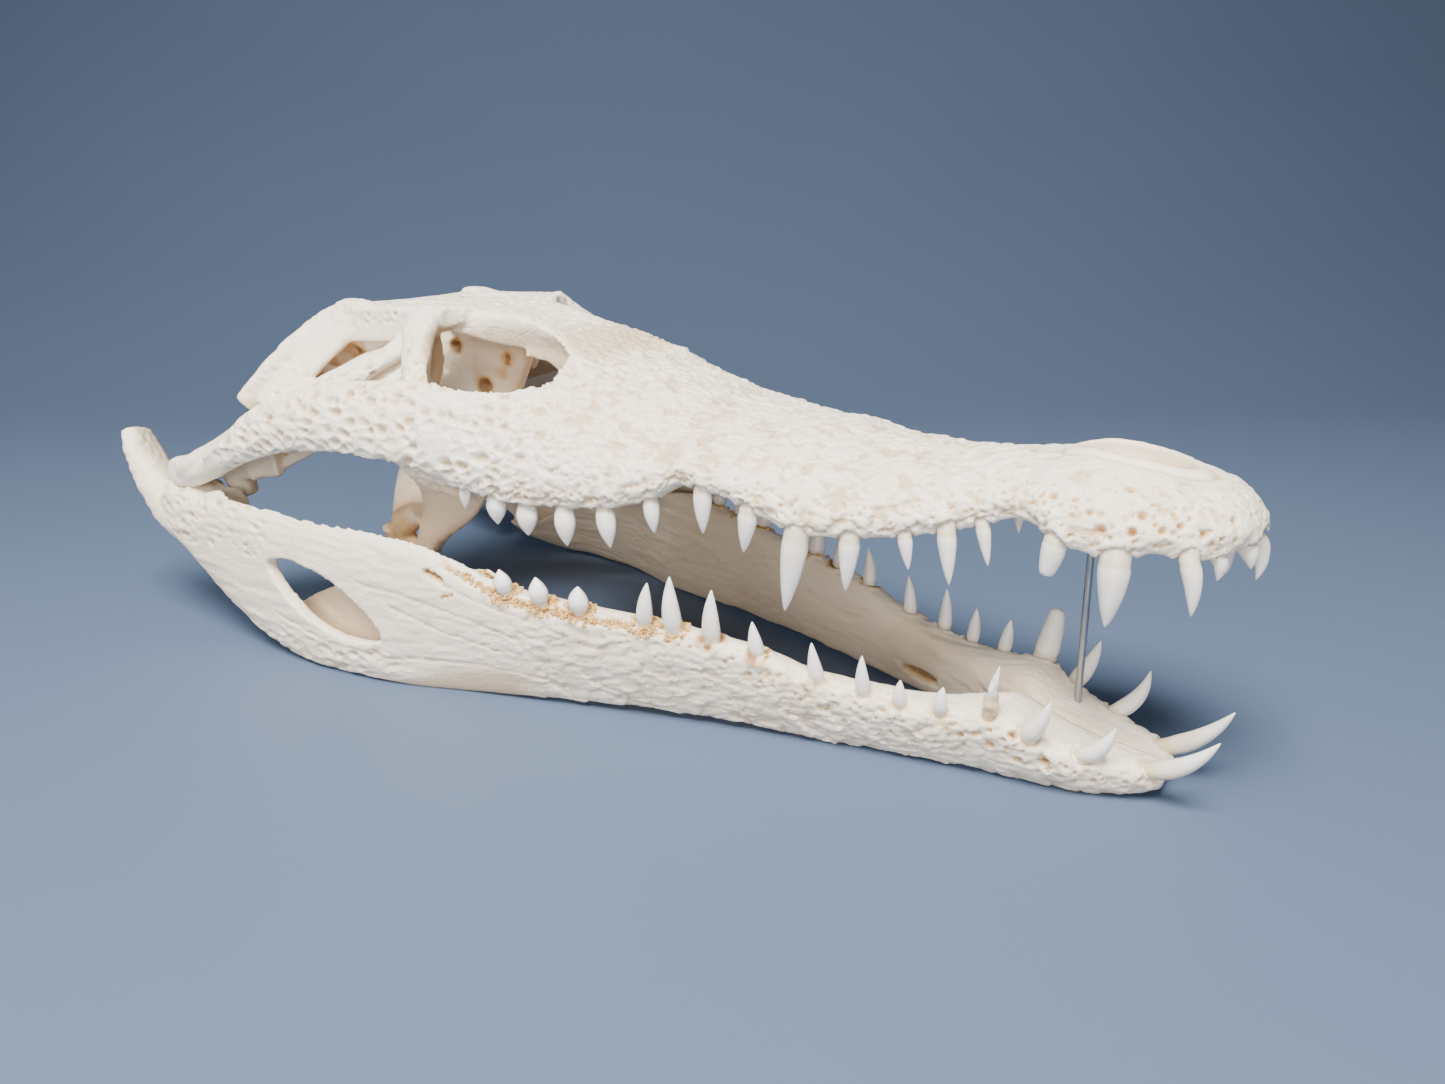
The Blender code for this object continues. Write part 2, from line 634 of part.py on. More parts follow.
def jawRing(x, sign):
    """Section of one half of the lower jaw."""
    top, base = float(jawTop(x)), float(jawBase(x))
    u, v = rounded(28, 1.0, 1.0, 3.4)
    inside, outside = jawSides(x, (v + 1) / 2)
    y = inside + (outside - inside) * (u + 1) / 2
    z = (top + base) / 2 + v * (top - base) / 2
    return np.stack([x + 0 * u, sign * y, z], 1)


def jawHalf(sign):
    stations = np.concatenate([np.arange(-200, 232, 6.0), [236, 240, 244, 247, 249.5]])
    loft("ramus", [jawRing(x, sign) for x in stations])
    # Joint block with its cup, and the process behind it
    sweep("jointBlock", [(-166, sign * 91, 48, 11, 14), (-180, sign * 89, 53, 13, 15),
                         (-196, sign * 88, 58, 14, 13), (-208, sign * 87.5, 60, 12, 10)], (0, 1, 0), power=3)
    sweep("rearProcess", [(-190, sign * 89, 47, 13, 12), (-210, sign * 89, 52, 12.5, 11),
                          (-226, sign * 88.5, 62, 12, 8.5), (-239, sign * 87.5, 75, 12, 6.5),
                          (-247, sign * 86.5, 88, 9.5, 4.8)], (-0.55, -sign * 0.83, 0), power=2.4)


def jawOpenings(sign):
    """The muscle hollow inside the rear half, the top of its inner wall and the outer window."""
    hollow, innerWall = [], []
    for x in np.arange(-168, 15, 6.0):
        top, base, wall = float(jawTop(x)), float(jawBase(x)), float(jawInnerWall(x))
        close = min(1.0, max(0.1, (14 - x) / 40), max(0.1, (x + 172) / 20))
        floor = base + 7 + (1 - close) * 30
        low, high = (jawSides(x, (z - base) / (top - base)) for z in (floor, top))
        spans = []
        for (inside, outside), z in ((low, floor), (high, top + 30)):
            middle, half = (inside + outside) / 2, (outside - inside - 9) / 2 * close
            spans.append([(x, sign * (middle - half), z), (x, sign * (middle + half), z)])
        hollow.append(spans[0] + spans[1][::-1])
        middle = (high[0] + high[1]) / 2
        innerWall.append([(x, sign * (middle - 40), wall), (x, sign * middle, wall),
                          (x, sign * middle, 105), (x, sign * (middle - 40), 105)])
    w = jawWindow
    turn = np.linspace(0, 2 * np.pi, 28, endpoint=False)
    u, v = w["long"] * np.cos(turn), w["high"] * np.sin(turn) * abs(np.sin(turn)) ** 0.35
    tilt = math.radians(w["tilt"])
    x = w["x"] + u * math.cos(tilt) - v * math.sin(tilt)
    z = w["z"] + u * math.sin(tilt) + v * math.cos(tilt)
    leaf = [np.stack([x, 0 * x + sign * y, z], 1) for y in (89, 115)]
    return [loft("hollowCut", hollow), loft("wallCut", innerWall), loft("leafCut", leaf)]


def jointCups(sign):
    """Hollows of the lower jaw that hold the condyle and the knob beside it."""
    radius = condyleRadius + gap
    ends = [(jointX, sign * y, jointZ, radius, radius) for y in (condyleOuter + 8, condyleInner - 12)]
    return [
        sweep("cupCut", ends, (1, 0, 0), power=2, count=24, steps=3),
        ball("knobCut", (-181, sign * 71.5, 66), (11, 9, 15)),
    ]


def tooth(base, tip, radius, leaf, bow=0.0, sides=7):
    """A pointed tooth; a leaf-shaped one swells above a narrow neck, and bow pushes its middle forward."""
    base, tip = np.array(base, float), np.array(tip, float)
    axis = tip - base
    length = np.linalg.norm(axis)
    ahead = axis / length
    side = np.cross(ahead, (0, 1, 0))
    side /= np.linalg.norm(side)
    other = np.cross(ahead, side)
    outward = np.array([0, math.copysign(1, base[1]), 0])
    forward = np.array([1, 0, 0]) - ahead * ahead[0]
    bend = bow * length * forward + 0.04 * length * outward
    root = -max(0.28, rootDepth / length)
    rings = []
    # Share of the length, and the width there of a cone and of a leaf
    shape = ((root, 0.85, 0.7), (0.02, 1.0, 0.8), (0.45, 0.78, 1.05), (0.8, 0.4, 0.55), (0.98, 0.07, 0.09))
    for t, cone, bulb in shape:
        r = radius * (cone * (1 - leaf) + bulb * leaf)
        centre = base + axis * t + bend * 4 * t * (1 - t) * (t > 0)
        if t < 0:
            centre = centre - rootInward * outward
        turn = np.linspace(0, 2 * np.pi, sides, endpoint=False)
        rings.append(centre + r * (np.cos(turn)[:, None] * side + np.sin(turn)[:, None] * other))
    return loft("tooth", rings)


def fuseTeeth(node, teeth):
    """Joins the teeth to their bone as one closed body."""
    row = bpy.data.collections.new("teeth")
    for one in teeth:
        bpy.context.scene.collection.objects.unlink(one)
        row.objects.link(one)
    bpy.context.scene.collection.children.link(row)
    union = node.modifiers.new("teeth", "BOOLEAN")
    union.operation = "UNION"
    union.operand_type = "COLLECTION"
    union.collection = row
    union.solver = "EXACT"
    applyModifiers(node)
    remove(teeth)
    bpy.data.collections.remove(row)
    largestShell(node)


def upperToothSet(rear, front, sides=(-1, 1)):
    """The upper teeth that stand between two distances forward."""
    teeth = []
    for x, row, right, left, lean, radius, leaf in upperTeeth:
        for sign, length in ((-1, right), (1, left)):
            if not rear < x < front or sign not in sides:
                continue
            z = float(upperMargin(x)) + 1.0
            bow = 0.13 if x > 255 else 0.06 if x > 240 else 0.02
            tip = (x + lean, sign * (row + 0.5), z - length)
            teeth.append(tooth((x, sign * row, z), tip, radius, leaf, bow))
    return teeth


def lowerToothSet(sign):
    """The lower teeth of one half of the jaw."""
    teeth = []
    for order, (x, row, right, left, lean, radius, leaf) in enumerate(lowerTeeth):
        length = right if sign < 0 else left
        if order == shard["order"] and sign < 0:
            radius *= shard["thin"]
        z = float(jawTop(x)) - 1.5
        drop = math.sqrt(max(1.0, (length + 1.5) ** 2 - lean ** 2))
        bow = 0.13 if x > 215 else 0.05 if x > 200 else 0.0
        tip = (x + lean, sign * (row + 1.5), z + drop)
        teeth.append(tooth((x, sign * row, z), tip, radius, leaf, bow))
    return teeth


def part(source, name, low, high):
    """The part of the fused skull inside a box, as a node."""
    node = copyOf(source, name)
    boolean(node, [block("region", low, high)], "INTERSECT")
    largestShell(node)
    return node


def material(name, colour, roughness, metallic=0.0):
    look = bpy.data.materials.new(name)
    look.use_nodes = True
    shader = look.node_tree.nodes["Principled BSDF"]
    shader.inputs["Base Color"].default_value = (*colour, 1)
    shader.inputs["Roughness"].default_value = roughness
    shader.inputs["Metallic"].default_value = metallic
    return look


def makeCranium():
    pieces = newObjects(lambda: (upperJaw(), cheekBones(), skullRoof(), palateBones()))
    skull = joined("skull", pieces)
    fuse(skull, skinVoxel, 0)
    boolean(skull, craniumOpenings(), "DIFFERENCE", "MANIFOLD")
    fuse(skull, skinVoxel, skinSmoothing)
    largestShell(skull)
    thinOut(skull, faceBudget["cranium"])
    half = gap / 2
    far = 400
    rear = cheekCut - half
    side = sideCut - half
    nodes = [
        part(skull, "snout", (cheekCut + half, -far, 0), (far, far, far)),
        part(skull, "skull_roof", (-far, -side, palateCut + half), (rear, side, far)),
        part(skull, "pterygoid", (-far, -side, 0), (rear, side, palateCut - half)),
        part(skull, "cheek_right", (-far, -far, 0), (rear, -sideCut - half, far)),
        part(skull, "cheek_left", (-far, sideCut + half, 0), (rear, far, far)),
    ]
    remove([skull])
    fuseTeeth(nodes[0], upperToothSet(cheekCut, 400))
    fuseTeeth(nodes[3], upperToothSet(-100, cheekCut, (-1,)))
    fuseTeeth(nodes[4], upperToothSet(-100, cheekCut, (1,)))
    return nodes


def jointRoom(cheek):
    """The jaw-joint end of a cheek, swollen by the gap, to be cut from the lower jaw."""
    room = copyOf(cheek, "jointRoom")
    boolean(room, [block("region", (-400, -400, 0), (-130, 400, 110))], "INTERSECT")
    largestShell(room)
    swell = room.modifiers.new("swell", "DISPLACE")
    swell.strength = 1.4 * gap * metre
    swell.mid_level = 0
    applyModifiers(room)
    return room


def makeJaw(name, sign, cheek):
    pieces = newObjects(lambda: jawHalf(sign))
    bone = joined(name, pieces)
    fuse(bone, skinVoxel, 0)
    boolean(bone, jawOpenings(sign), "DIFFERENCE", "MANIFOLD")
    fuse(bone, skinVoxel, skinSmoothing)
    largestShell(bone)
    thinOut(bone, faceBudget["jaw"])
    inside = sorted((sign * gap / 2, sign * 400))
    boolean(bone, [block("region", (-400, inside[0], 0), (400, inside[1], 400))], "INTERSECT")
    boolean(bone, jointCups(sign) + [jointRoom(cheek)], "DIFFERENCE")
    largestShell(bone)
    fuseTeeth(bone, lowerToothSet(sign))
    return bone


def rodShape(name, radius, foot, head, sides=16):
    foot, head = np.array(foot), np.array(head)
    turn = np.linspace(0, 2 * np.pi, sides, endpoint=False)
    ring = np.stack([radius * np.cos(turn), radius * np.sin(turn), 0 * turn], 1)
    return loft(name, [foot + ring, head + ring])


def build():
    remove(bpy.data.objects)
    bone = material("bone", (0.83, 0.77, 0.67), 0.55)
    darker = material("jawBone", (0.82, 0.76, 0.65), 0.55)
    steel = material("rodSteel", (0.42, 0.44, 0.46), 0.3, 1.0)

    cranium = makeCranium()
    jaws = [makeJaw("jaw_right", -1, cranium[3]), makeJaw("jaw_left", 1, cranium[4])]

    # The rod stands in a drilled hole in the jaw and ends in one in the palate
    foot, head = np.array(rodFoot), np.array(rodHead)
    lean = (head - foot) / np.linalg.norm(head - foot)
    for node in (jaws[1], cranium[0]):
        drill = rodShape("drill", rodRadius + gap, foot - gap * lean, head + gap * lean)
        boolean(node, [drill], "DIFFERENCE")
        largestShell(node)
    rod = rodShape("prop_rod", rodRadius, foot, head)

    for node, look in [(n, bone) for n in cranium] + [(n, darker) for n in jaws] + [(rod, steel)]:
        node.data.materials.clear()
        node.data.materials.append(look)
        node.data.shade_smooth()

    # The middle of the base goes to the origin
    nodes = cranium + jaws + [rod]
    points = np.array([v.co for n in nodes for v in n.data.vertices])
    low, high = points.min(0), points.max(0)
    shift = np.array([(low[0] + high[0]) / 2, (low[1] + high[1]) / 2, low[2]])
    for node in nodes:
        for vertex in node.data.vertices:
            vertex.co = tuple(np.array(vertex.co) - shift)
    print("moved by", (-shift / metre).round(3))
    return -shift / metre


shiftUsed = build()
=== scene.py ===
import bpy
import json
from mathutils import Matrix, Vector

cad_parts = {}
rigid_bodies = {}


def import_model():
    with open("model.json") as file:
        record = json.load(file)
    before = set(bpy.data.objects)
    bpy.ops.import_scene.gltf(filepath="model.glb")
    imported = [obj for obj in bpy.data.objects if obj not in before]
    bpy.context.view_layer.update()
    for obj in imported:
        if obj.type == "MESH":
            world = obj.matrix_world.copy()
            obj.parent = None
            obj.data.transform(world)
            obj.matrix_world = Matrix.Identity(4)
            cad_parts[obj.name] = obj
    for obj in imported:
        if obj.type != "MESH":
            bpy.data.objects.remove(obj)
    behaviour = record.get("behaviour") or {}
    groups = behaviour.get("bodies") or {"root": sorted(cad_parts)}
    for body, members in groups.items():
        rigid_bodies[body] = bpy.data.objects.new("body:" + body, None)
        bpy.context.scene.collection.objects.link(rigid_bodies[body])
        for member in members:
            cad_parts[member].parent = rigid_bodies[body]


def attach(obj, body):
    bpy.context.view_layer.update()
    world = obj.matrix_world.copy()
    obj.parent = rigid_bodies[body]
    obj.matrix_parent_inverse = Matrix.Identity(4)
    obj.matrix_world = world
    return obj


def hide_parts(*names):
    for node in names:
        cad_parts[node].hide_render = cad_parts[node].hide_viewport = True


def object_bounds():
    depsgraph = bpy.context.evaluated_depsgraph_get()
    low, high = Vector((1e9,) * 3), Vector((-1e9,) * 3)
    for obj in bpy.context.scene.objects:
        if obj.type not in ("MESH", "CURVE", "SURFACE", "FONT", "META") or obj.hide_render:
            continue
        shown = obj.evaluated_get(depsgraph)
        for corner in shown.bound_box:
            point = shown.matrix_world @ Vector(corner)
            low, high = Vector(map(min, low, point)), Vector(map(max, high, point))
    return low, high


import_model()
cadBox = [list(corner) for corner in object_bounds()]

import itertools
import json
import math

import bmesh
import bpy
import mathutils
import numpy as np

# Crocodile skull with its lower jaw, propped open by a metal rod
# Forms are in millimetres in their own frame, meshes in metres in the frame of the solids

metre = 0.001
place = np.array([-10.104, -0.013, 0.0])  # where the solids put the forms' origin, in mm
gap = 0.3  # between nodes that meet
restTilt = math.radians(0.9)  # the skull leans forward until its chin touches the floor

# Upper skull
snoutRear = -34.0
snoutTip = 268.2
cheekCut = 18.7  # the snout ends here, in front of the orbits
sideCut = 46.0  # the cheeks lie outside this half width
palateCut = 104.0  # the pterygoid and palatines lie below this height
tableRear = -133.0
tableFront = -58.0
tableHalfWidth = 43.5
tableTop = 156.5
nostril = dict(x=227.0, z=131.5, long=21.0, wide=12.0, deep=17.0)
upperWindow = dict(x=-96.0, y=22.0, long=17.0, wide=11.0)

# Jaw joint
jointX = -192.0
jointZ = 76.0
condyleRadius = 7.5
condyleInner = 74.0
condyleOuter = 99.0

# Lower jaw
jawWindow = dict(x=-86.0, z=34.0, long=35.0, high=12.8, tilt=-20.0)

# Prop rod
rodRadius = 1.35
rodFoot = (213.2, 12.0, 16.0)
rodHead = (211.4, 12.0, 112.0)

rootDepth = 5.5  # least depth of a tooth in its bone
rootInward = 2.2


# Upper teeth of one side, front to rear: x, half width of the row, length on the
# right and on the left, forward lean of the tip, radius, and how leaf-shaped it is
upperTeeth = (
    (263.0, 7.5, 8.0, 16.5, 3.6, 3.4, 0.0),
    (257.5, 18.0, 9.0, 10.0, 1.6, 2.7, 0.0),
    (251.5, 26.5, 18.0, 20.0, 3.0, 3.3, 0.0),
    (231.5, 33.0, 23.5, 15.0, -0.6, 5.2, 0.0),
    (212.5, 33.0, 12.5, 12.0, -2.2, 4.1, 0.0),
    (186.0, 29.0, 14.5, 14.0, 3.4, 2.6, 0.0),
    (175.0, 33.0, 19.5, 18.5, 2.6, 3.5, 0.0),
    (162.0, 38.0, 12.0, 13.0, 2.4, 2.7, 0.0),
    (144.0, 43.5, 20.5, 19.5, -0.8, 4.0, 0.0),
    (124.6, 47.0, 31.0, 29.0, -4.2, 5.3, 0.0),
    (105.0, 48.5, 17.0, 16.0, -2.0, 4.0, 0.1),
    (85.0, 49.5, 17.5, 17.0, 0.4, 3.9, 0.2),
    (62.5, 52.5, 13.5, 14.0, 2.0, 3.6, 0.4),
    (43.5, 57.5, 16.5, 16.0, 2.8, 4.3, 0.6),
    (27.0, 62.5, 16.5, 15.5, 1.0, 4.5, 0.8),
    (10.5, 66.5, 14.5, 14.0, 0.2, 4.4, 1.0),
    (-3.0, 70.0, 13.5, 11.5, 0.4, 4.2, 1.0),
    (-16.0, 74.0, 11.5, 9.0, -0.8, 2.7, 0.8),
)
# Lower teeth, in the same order of values
lowerTeeth = (
    (246.0, 10.0, 25.5, 26.5, 20.5, 3.7, 0.0),
    (225.0, 20.0, 16.5, 20.5, 10.5, 3.4, 0.0),
    (207.5, 26.5, 16.0, 18.5, 7.5, 3.5, 0.0),
    (194.0, 29.5, 18.5, 19.5, 3.0, 4.9, 0.0),
    (176.5, 31.5, 9.0, 12.5, 1.5, 2.9, 0.2),
    (162.0, 34.0, 9.0, 13.5, 0.5, 2.8, 0.2),
    (148.5, 36.5, 14.0, 16.5, -0.6, 3.0, 0.1),
    (131.0, 40.0, 14.0, 15.5, -2.4, 3.1, 0.1),
    (108.0, 45.8, 12.3, 15.5, -2.0, 3.2, 0.2),
    (90.0, 50.8, 19.5, 18.5, 0.8, 3.9, 0.2),
    (75.0, 55.4, 21.0, 20.0, -0.6, 4.2, 0.2),
    (63.5, 59.0, 17.0, 17.5, 2.8, 3.6, 0.3),
    (37.5, 67.5, 9.8, 11.0, 0.6, 4.3, 0.8),
    (21.5, 72.4, 10.0, 10.5, -1.4, 4.0, 1.0),
    (5.5, 76.0, 9.0, 9.0, -2.0, 3.8, 1.0),
)

# The fourth lower tooth on the right is worn to a thin shard
shard = dict(order=3, thin=0.5)


def along(*pairs):
    # a smooth value along x through (x, value) pairs, with no overshoot
    xs, ys = np.array(sorted(pairs), float).T
    step = np.diff(xs)
    rise = np.diff(ys) / step
    slope = np.zeros_like(ys)
    slope[0], slope[-1] = rise[0], rise[-1]
    same = rise[:-1] * rise[1:] > 0
    with np.errstate(divide="ignore", invalid="ignore"):
        mean = 2 * rise[:-1] * rise[1:] / (rise[:-1] + rise[1:])
    slope[1:-1] = np.where(same, mean, 0)

    def value(x):
        x = np.clip(x, xs[0], xs[-1])
        k = np.clip(np.searchsorted(xs, x) - 1, 0, len(step) - 1)
        t = (x - xs[k]) / step[k]
        start = ys[k] * (1 + 2 * t) * (1 - t) ** 2 + slope[k] * step[k] * t * (1 - t) ** 2
        end = ys[k + 1] * t * t * (3 - 2 * t) + slope[k + 1] * step[k] * t * t * (t - 1)
        return start + end

    return value


# Outline of the upper jaw: half width, height of its tooth margin and of its roof
upperHalfWidth = along(
    (-40, 86), (-22, 82.5), (-10, 79.5), (2, 76.5), (17, 72.5), (32, 68), (49, 63), (67, 58),
    (88, 54), (106, 53), (127, 51.5), (146, 47.5), (163, 41), (175, 35.5), (188, 31.5),
    (196, 31), (203, 33), (210, 36), (220, 37.5), (231, 37), (242, 34), (252, 28), (260, 22.5),
    (265, 15.5), (268.2, 7),
)
upperMargin = along(
    (-40, 99), (-22, 93.6), (-10, 90.6), (2, 87.9), (17, 86.2), (32, 86.6), (49, 88.6),
    (67, 94.6), (77, 100.2), (88, 99.3), (106, 94.6), (127, 89), (146, 90.4), (163, 92.6),
    (175, 95.6), (188, 99.4), (196, 102.6), (203, 103), (210, 99.6), (218, 97.6),
    (231, 96.6), (242, 99.4), (252, 98), (259, 99.5), (268.2, 102),
)
upperRoof = along(
    (-40, 152), (-8, 147), (22, 137.5), (48, 131.8), (73, 124.8), (97, 121.4), (119, 121.6),
    (132, 118.3), (141, 118), (160, 117.6), (179, 119.3), (197, 121.2), (207, 123.3), (217, 125.8),
    (230, 125), (246, 121), (255, 119), (262, 115.6), (266, 111), (268.2, 107),
)
upperPower = along((-40, 2.4), (10, 2.3), (50, 2.0), (150, 2.0), (268.2, 2.0))
# Plan of the eye opening: distance forward and half width
eyeRim = (
    (8.7, 46), (4.5, 34), (-8, 25.5), (-20, 21), (-34, 20), (-49, 25), (-60, 32), (-62, 40),
    (-57, 50), (-49, 60), (-40, 69), (-32, 72), (-18, 68.5), (-5, 62.5), (4, 55),
)

# Outline of each half of the lower jaw
jawHalfWidthTop = along(
    (-205, 101), (-180, 102), (-140, 103), (-100, 102), (-60, 98), (-20, 89), (20, 78),
    (60, 66), (100, 54), (140, 43.5), (164, 38), (180, 35.5), (196, 33.5), (210, 30),
    (222, 26), (236, 19), (245, 14), (250, 8),
)
jawHalfWidthBase = along(
    (-205, 100), (-140, 101), (-100, 100), (-60, 94.5), (-20, 80.5), (20, 67), (60, 54.5),
    (100, 43), (140, 33), (180, 25), (220, 19), (240, 12), (250, 5),
)
jawInner = along(
    (-205, 76), (-175, 76), (-140, 78), (-98, 78), (-62, 76), (-40, 74), (-20, 70), (0, 66),
    (20, 62), (40, 56), (60, 50), (80, 44.5), (97, 40), (111, 36), (133, 29), (150, 22.5),
    (164, 17), (175, 12), (186, 6.5), (196, 1.5), (203, -2), (250, -2),
)
jawTop = along(
    (-205, 56), (-190, 62), (-178, 66.5), (-165, 70.8), (-142, 72.5), (-98, 71.5), (-62, 70.8), (-37, 67.8),
    (-14, 59.6), (9, 50.6), (25, 49.0), (42, 47.4), (65, 45.6), (81, 44), (97, 41.6), (111, 38.3),
    (133, 32), (150, 30.4), (164, 28.7), (178, 29.4), (196, 32.5), (207, 26.5), (228, 20.5),
    (245, 18), (250, 15),
)
jawBase = along(
    (-205, 43.5), (-187, 31), (-169, 18.5), (-151, 8.5), (-130, 1.4), (-110, -0.9), (-91, -0.8),
    (-61, -1.0), (-37, -1.6), (-4, 0.2), (40, 3.0), (82, 4.0), (122, 2.8), (160, 2.6), (190, 3.0),
    (225, 2.8), (240, 4.6), (250, 8),
)
# Top of the low inner wall beside the muscle hollow
jawInnerWall = along(
    (-165, 12), (-142, 13), (-130, 17), (-105, 30), (-94, 35), (-60, 45), (-30, 52), (0, 58),
    (15, 62),
)


def settled(points):
    # points leant forward onto the chin, in the frame of the solids
    x, y, z = np.asarray(points, float).T
    c, s = math.cos(restTilt), math.sin(restTilt)
    return np.stack([x * c + z * s, y, z * c - x * s], 1) + place


def unsettled(points):
    # the way back, from the frame of the solids to the forms' own
    x, y, z = (np.asarray(points, float) - place).T
    c, s = math.cos(restTilt), math.sin(restTilt)
    return np.stack([x * c - z * s, y, z * c + x * s], 1)


def linked(name, data):
    obj = bpy.data.objects.new(name, data)
    bpy.context.scene.collection.objects.link(obj)
    return obj


def meshFrom(name, points, faces):
    # a mesh object from points in millimetres, its faces turned outward
    mesh = bpy.data.meshes.new(name)
    mesh.from_pydata([tuple(p) for p in np.asarray(points) * metre], [], faces)
    shape = bmesh.new()
    shape.from_mesh(mesh)
    bmesh.ops.recalc_face_normals(shape, faces=shape.faces)
    shape.to_mesh(mesh)
    shape.free()
    return linked(name, mesh)


def tubeFaces(rings, count, start=0):
    # a skin over rings of equally many points, closed by fans round two points that follow them
    faces = []
    for i in range(rings - 1):
        here, above = start + i * count, start + (i + 1) * count
        for j in range(count):
            k = (j + 1) % count
            faces.append((here + j, here + k, above + k, above + j))
    first = start + rings * count
    last = first - count
    for j in range(count):
        k = (j + 1) % count
        faces.append((first, start + k, start + j))
        faces.append((first + 1, last + j, last + k))
    return faces


def loft(name, rings, lean=True):
    # a closed skin over rings
    rings = [np.asarray(r, float) for r in rings]
    points = np.concatenate(rings + [rings[0].mean(0)[None], rings[-1].mean(0)[None]])
    return meshFrom(name, settled(points) if lean else points, tubeFaces(len(rings), len(rings[0])))


def rounded(count, wide, high, power):
    # the two coordinates of a superellipse
    turn = np.linspace(0, 2 * np.pi, count, endpoint=False)
    c, s = np.cos(turn), np.sin(turn)
    return wide * np.sign(c) * abs(c) ** (2 / power), high * np.sign(s) * abs(s) ** (2 / power)


def through(points, steps):
    # points on a smooth curve through the given ones, which may carry more than three values
    points = np.asarray(points, float)
    spots = np.linspace(0, len(points) - 1, steps)
    columns = [along(*enumerate(points[:, c]))(spots) for c in range(points.shape[1])]
    return np.stack(columns, 1)


def closedCurve(points, steps):
    # a smooth closed curve through the points
    points = np.array(points, float)
    spots = np.linspace(0, len(points), steps, endpoint=False)
    k = spots.astype(int)
    t = (spots - k)[:, None]
    a, b, c, d = (points[(k + j) % len(points)] for j in (-1, 0, 1, 2))
    return b + 0.5 * t * (c - a + t * (2 * a - 5 * b + 4 * c - d + t * (3 * (b - c) + d - a)))


def sweep(name, stations, across, power=2.4, count=16, steps=14):
    # a bar along stations (x, y, z, half width along the way across, half thickness)
    stations = through(stations, steps)
    path = stations[:, :3]
    ahead = np.gradient(path, axis=0)
    ahead /= np.linalg.norm(ahead, axis=1)[:, None]
    across = through(np.atleast_2d(across), steps) if np.ndim(across) > 1 else np.tile(across, (steps, 1))
    side = across - (across * ahead).sum(1)[:, None] * ahead
    side /= np.linalg.norm(side, axis=1)[:, None]
    up = np.cross(ahead, side)
    rings = []
    for k in range(steps):
        u, v = rounded(count, stations[k, 3], stations[k, 4], power)
        rings.append(path[k] + u[:, None] * side[k] + v[:, None] * up[k])
    return loft(name, rings)


def ball(name, centre, radii, turns=18, rings=11):
    # a closed ellipsoid
    rows = []
    for k in range(rings):
        lift = math.pi * (k + 0.5) / rings - math.pi / 2
        u, v = rounded(turns, radii[0] * math.cos(lift), radii[1] * math.cos(lift), 2)
        z = centre[2] + radii[2] * math.sin(lift) + 0 * u
        rows.append(np.stack([centre[0] + u, centre[1] + v, z], 1))
    return loft(name, rows)


def halfway(u, v, low, high):
    return (high + low) / 2 + v * (high - low) / 2


def slab(name, stations, steps, sides, power, heightAt):
    # a bar across the middle plane, from x, half width, lowest and highest of each station
    rows = []
    for x, wide, low, high in through(stations, steps):
        u, v = rounded(sides, wide, 1.0, power)
        rows.append(np.stack([x + 0 * u, u, heightAt(u / wide, v, low, high)], 1))
    loft(name, rows)


def block(name, low, high):
    # a box between two corners
    (a, b, c), (d, e, f) = low, high
    bottom = [(a, b, c), (d, b, c), (d, e, c), (a, e, c)]
    top = [(x, y, f) for x, y, _ in bottom]
    return loft(name, [bottom, top], lean=False)


def mirrored(points):
    # the same stations on the other side of the body
    points = np.array(points, float)
    points[..., 1] *= -1
    return points


def bothSides(name, stations, across, **shape):
    # one bar on each side, from the stations of the right one
    sweep(name + "R", stations, across, **shape)
    flipped = mirrored(np.atleast_2d(across))
    sweep(name + "L", mirrored(stations), flipped if np.ndim(across) > 1 else flipped[0], **shape)


def applyModifiers(obj):
    graph = bpy.context.evaluated_depsgraph_get()
    mesh = bpy.data.meshes.new_from_object(obj.evaluated_get(graph))
    obj.modifiers.clear()
    obj.data = mesh


def remove(objects):
    for obj in list(objects):
        bpy.data.objects.remove(obj, do_unlink=True)


def joined(name, objects):
    # one object with the loose shells of all the given ones
    shape = bmesh.new()
    for obj in objects:
        shape.from_mesh(obj.data)
    mesh = bpy.data.meshes.new(name)
    shape.to_mesh(mesh)
    shape.free()
    remove(objects)
    return linked(name, mesh)


def fuse(obj, voxel, smoothing):
    # one closed skin round overlapping shells
    skin = obj.modifiers.new("skin", "REMESH")
    skin.mode = "VOXEL"
    skin.voxel_size = voxel * metre
    soften = obj.modifiers.new("soften", "SMOOTH")
    soften.factor = 0.5
    soften.iterations = smoothing
    applyModifiers(obj)


def boolean(obj, tools, operation, solver="EXACT"):
    # cuts the tools from the object, keeps what they share, or joins them
    for tool in tools:
        cut = obj.modifiers.new(operation, "BOOLEAN")
        cut.operation = operation
        cut.solver = solver
        cut.object = tool
        applyModifiers(obj)
    remove(tools)


def newObjects(make):
    # the objects that a function adds to the scene
    before = set(bpy.data.objects)
    make()
    return [o for o in bpy.data.objects if o not in before]


def snoutRing(x):
    # section of the upper jaw: a low dome over a rounded margin and a flat palate
    wide, margin, roof, power = (f(x) for f in (upperHalfWidth, upperMargin, upperRoof, upperPower))
    lip = min(5.0, wide * 0.25)
    turn = np.linspace(0, np.pi, 29)
    c, s = np.cos(turn), np.sin(turn)
    y = -wide * np.sign(c) * abs(c) ** (2 / power)
    z = margin + lip + (roof - margin - lip) * abs(s) ** (2 / power)
    edge = [(0.965, 0.35), (0.88, 0.0), (0.8, 0.15), (0.7, 1.1), (0.4, 1.25), (0.0, 1.3)]
    under = [(wide * a, margin + lip * b) for a, b in edge]
    under += [(-a, b) for a, b in reversed(under[:-1])]
    dome = list(zip(y, z))
    return [(x, a, b) for a, b in dome + under]


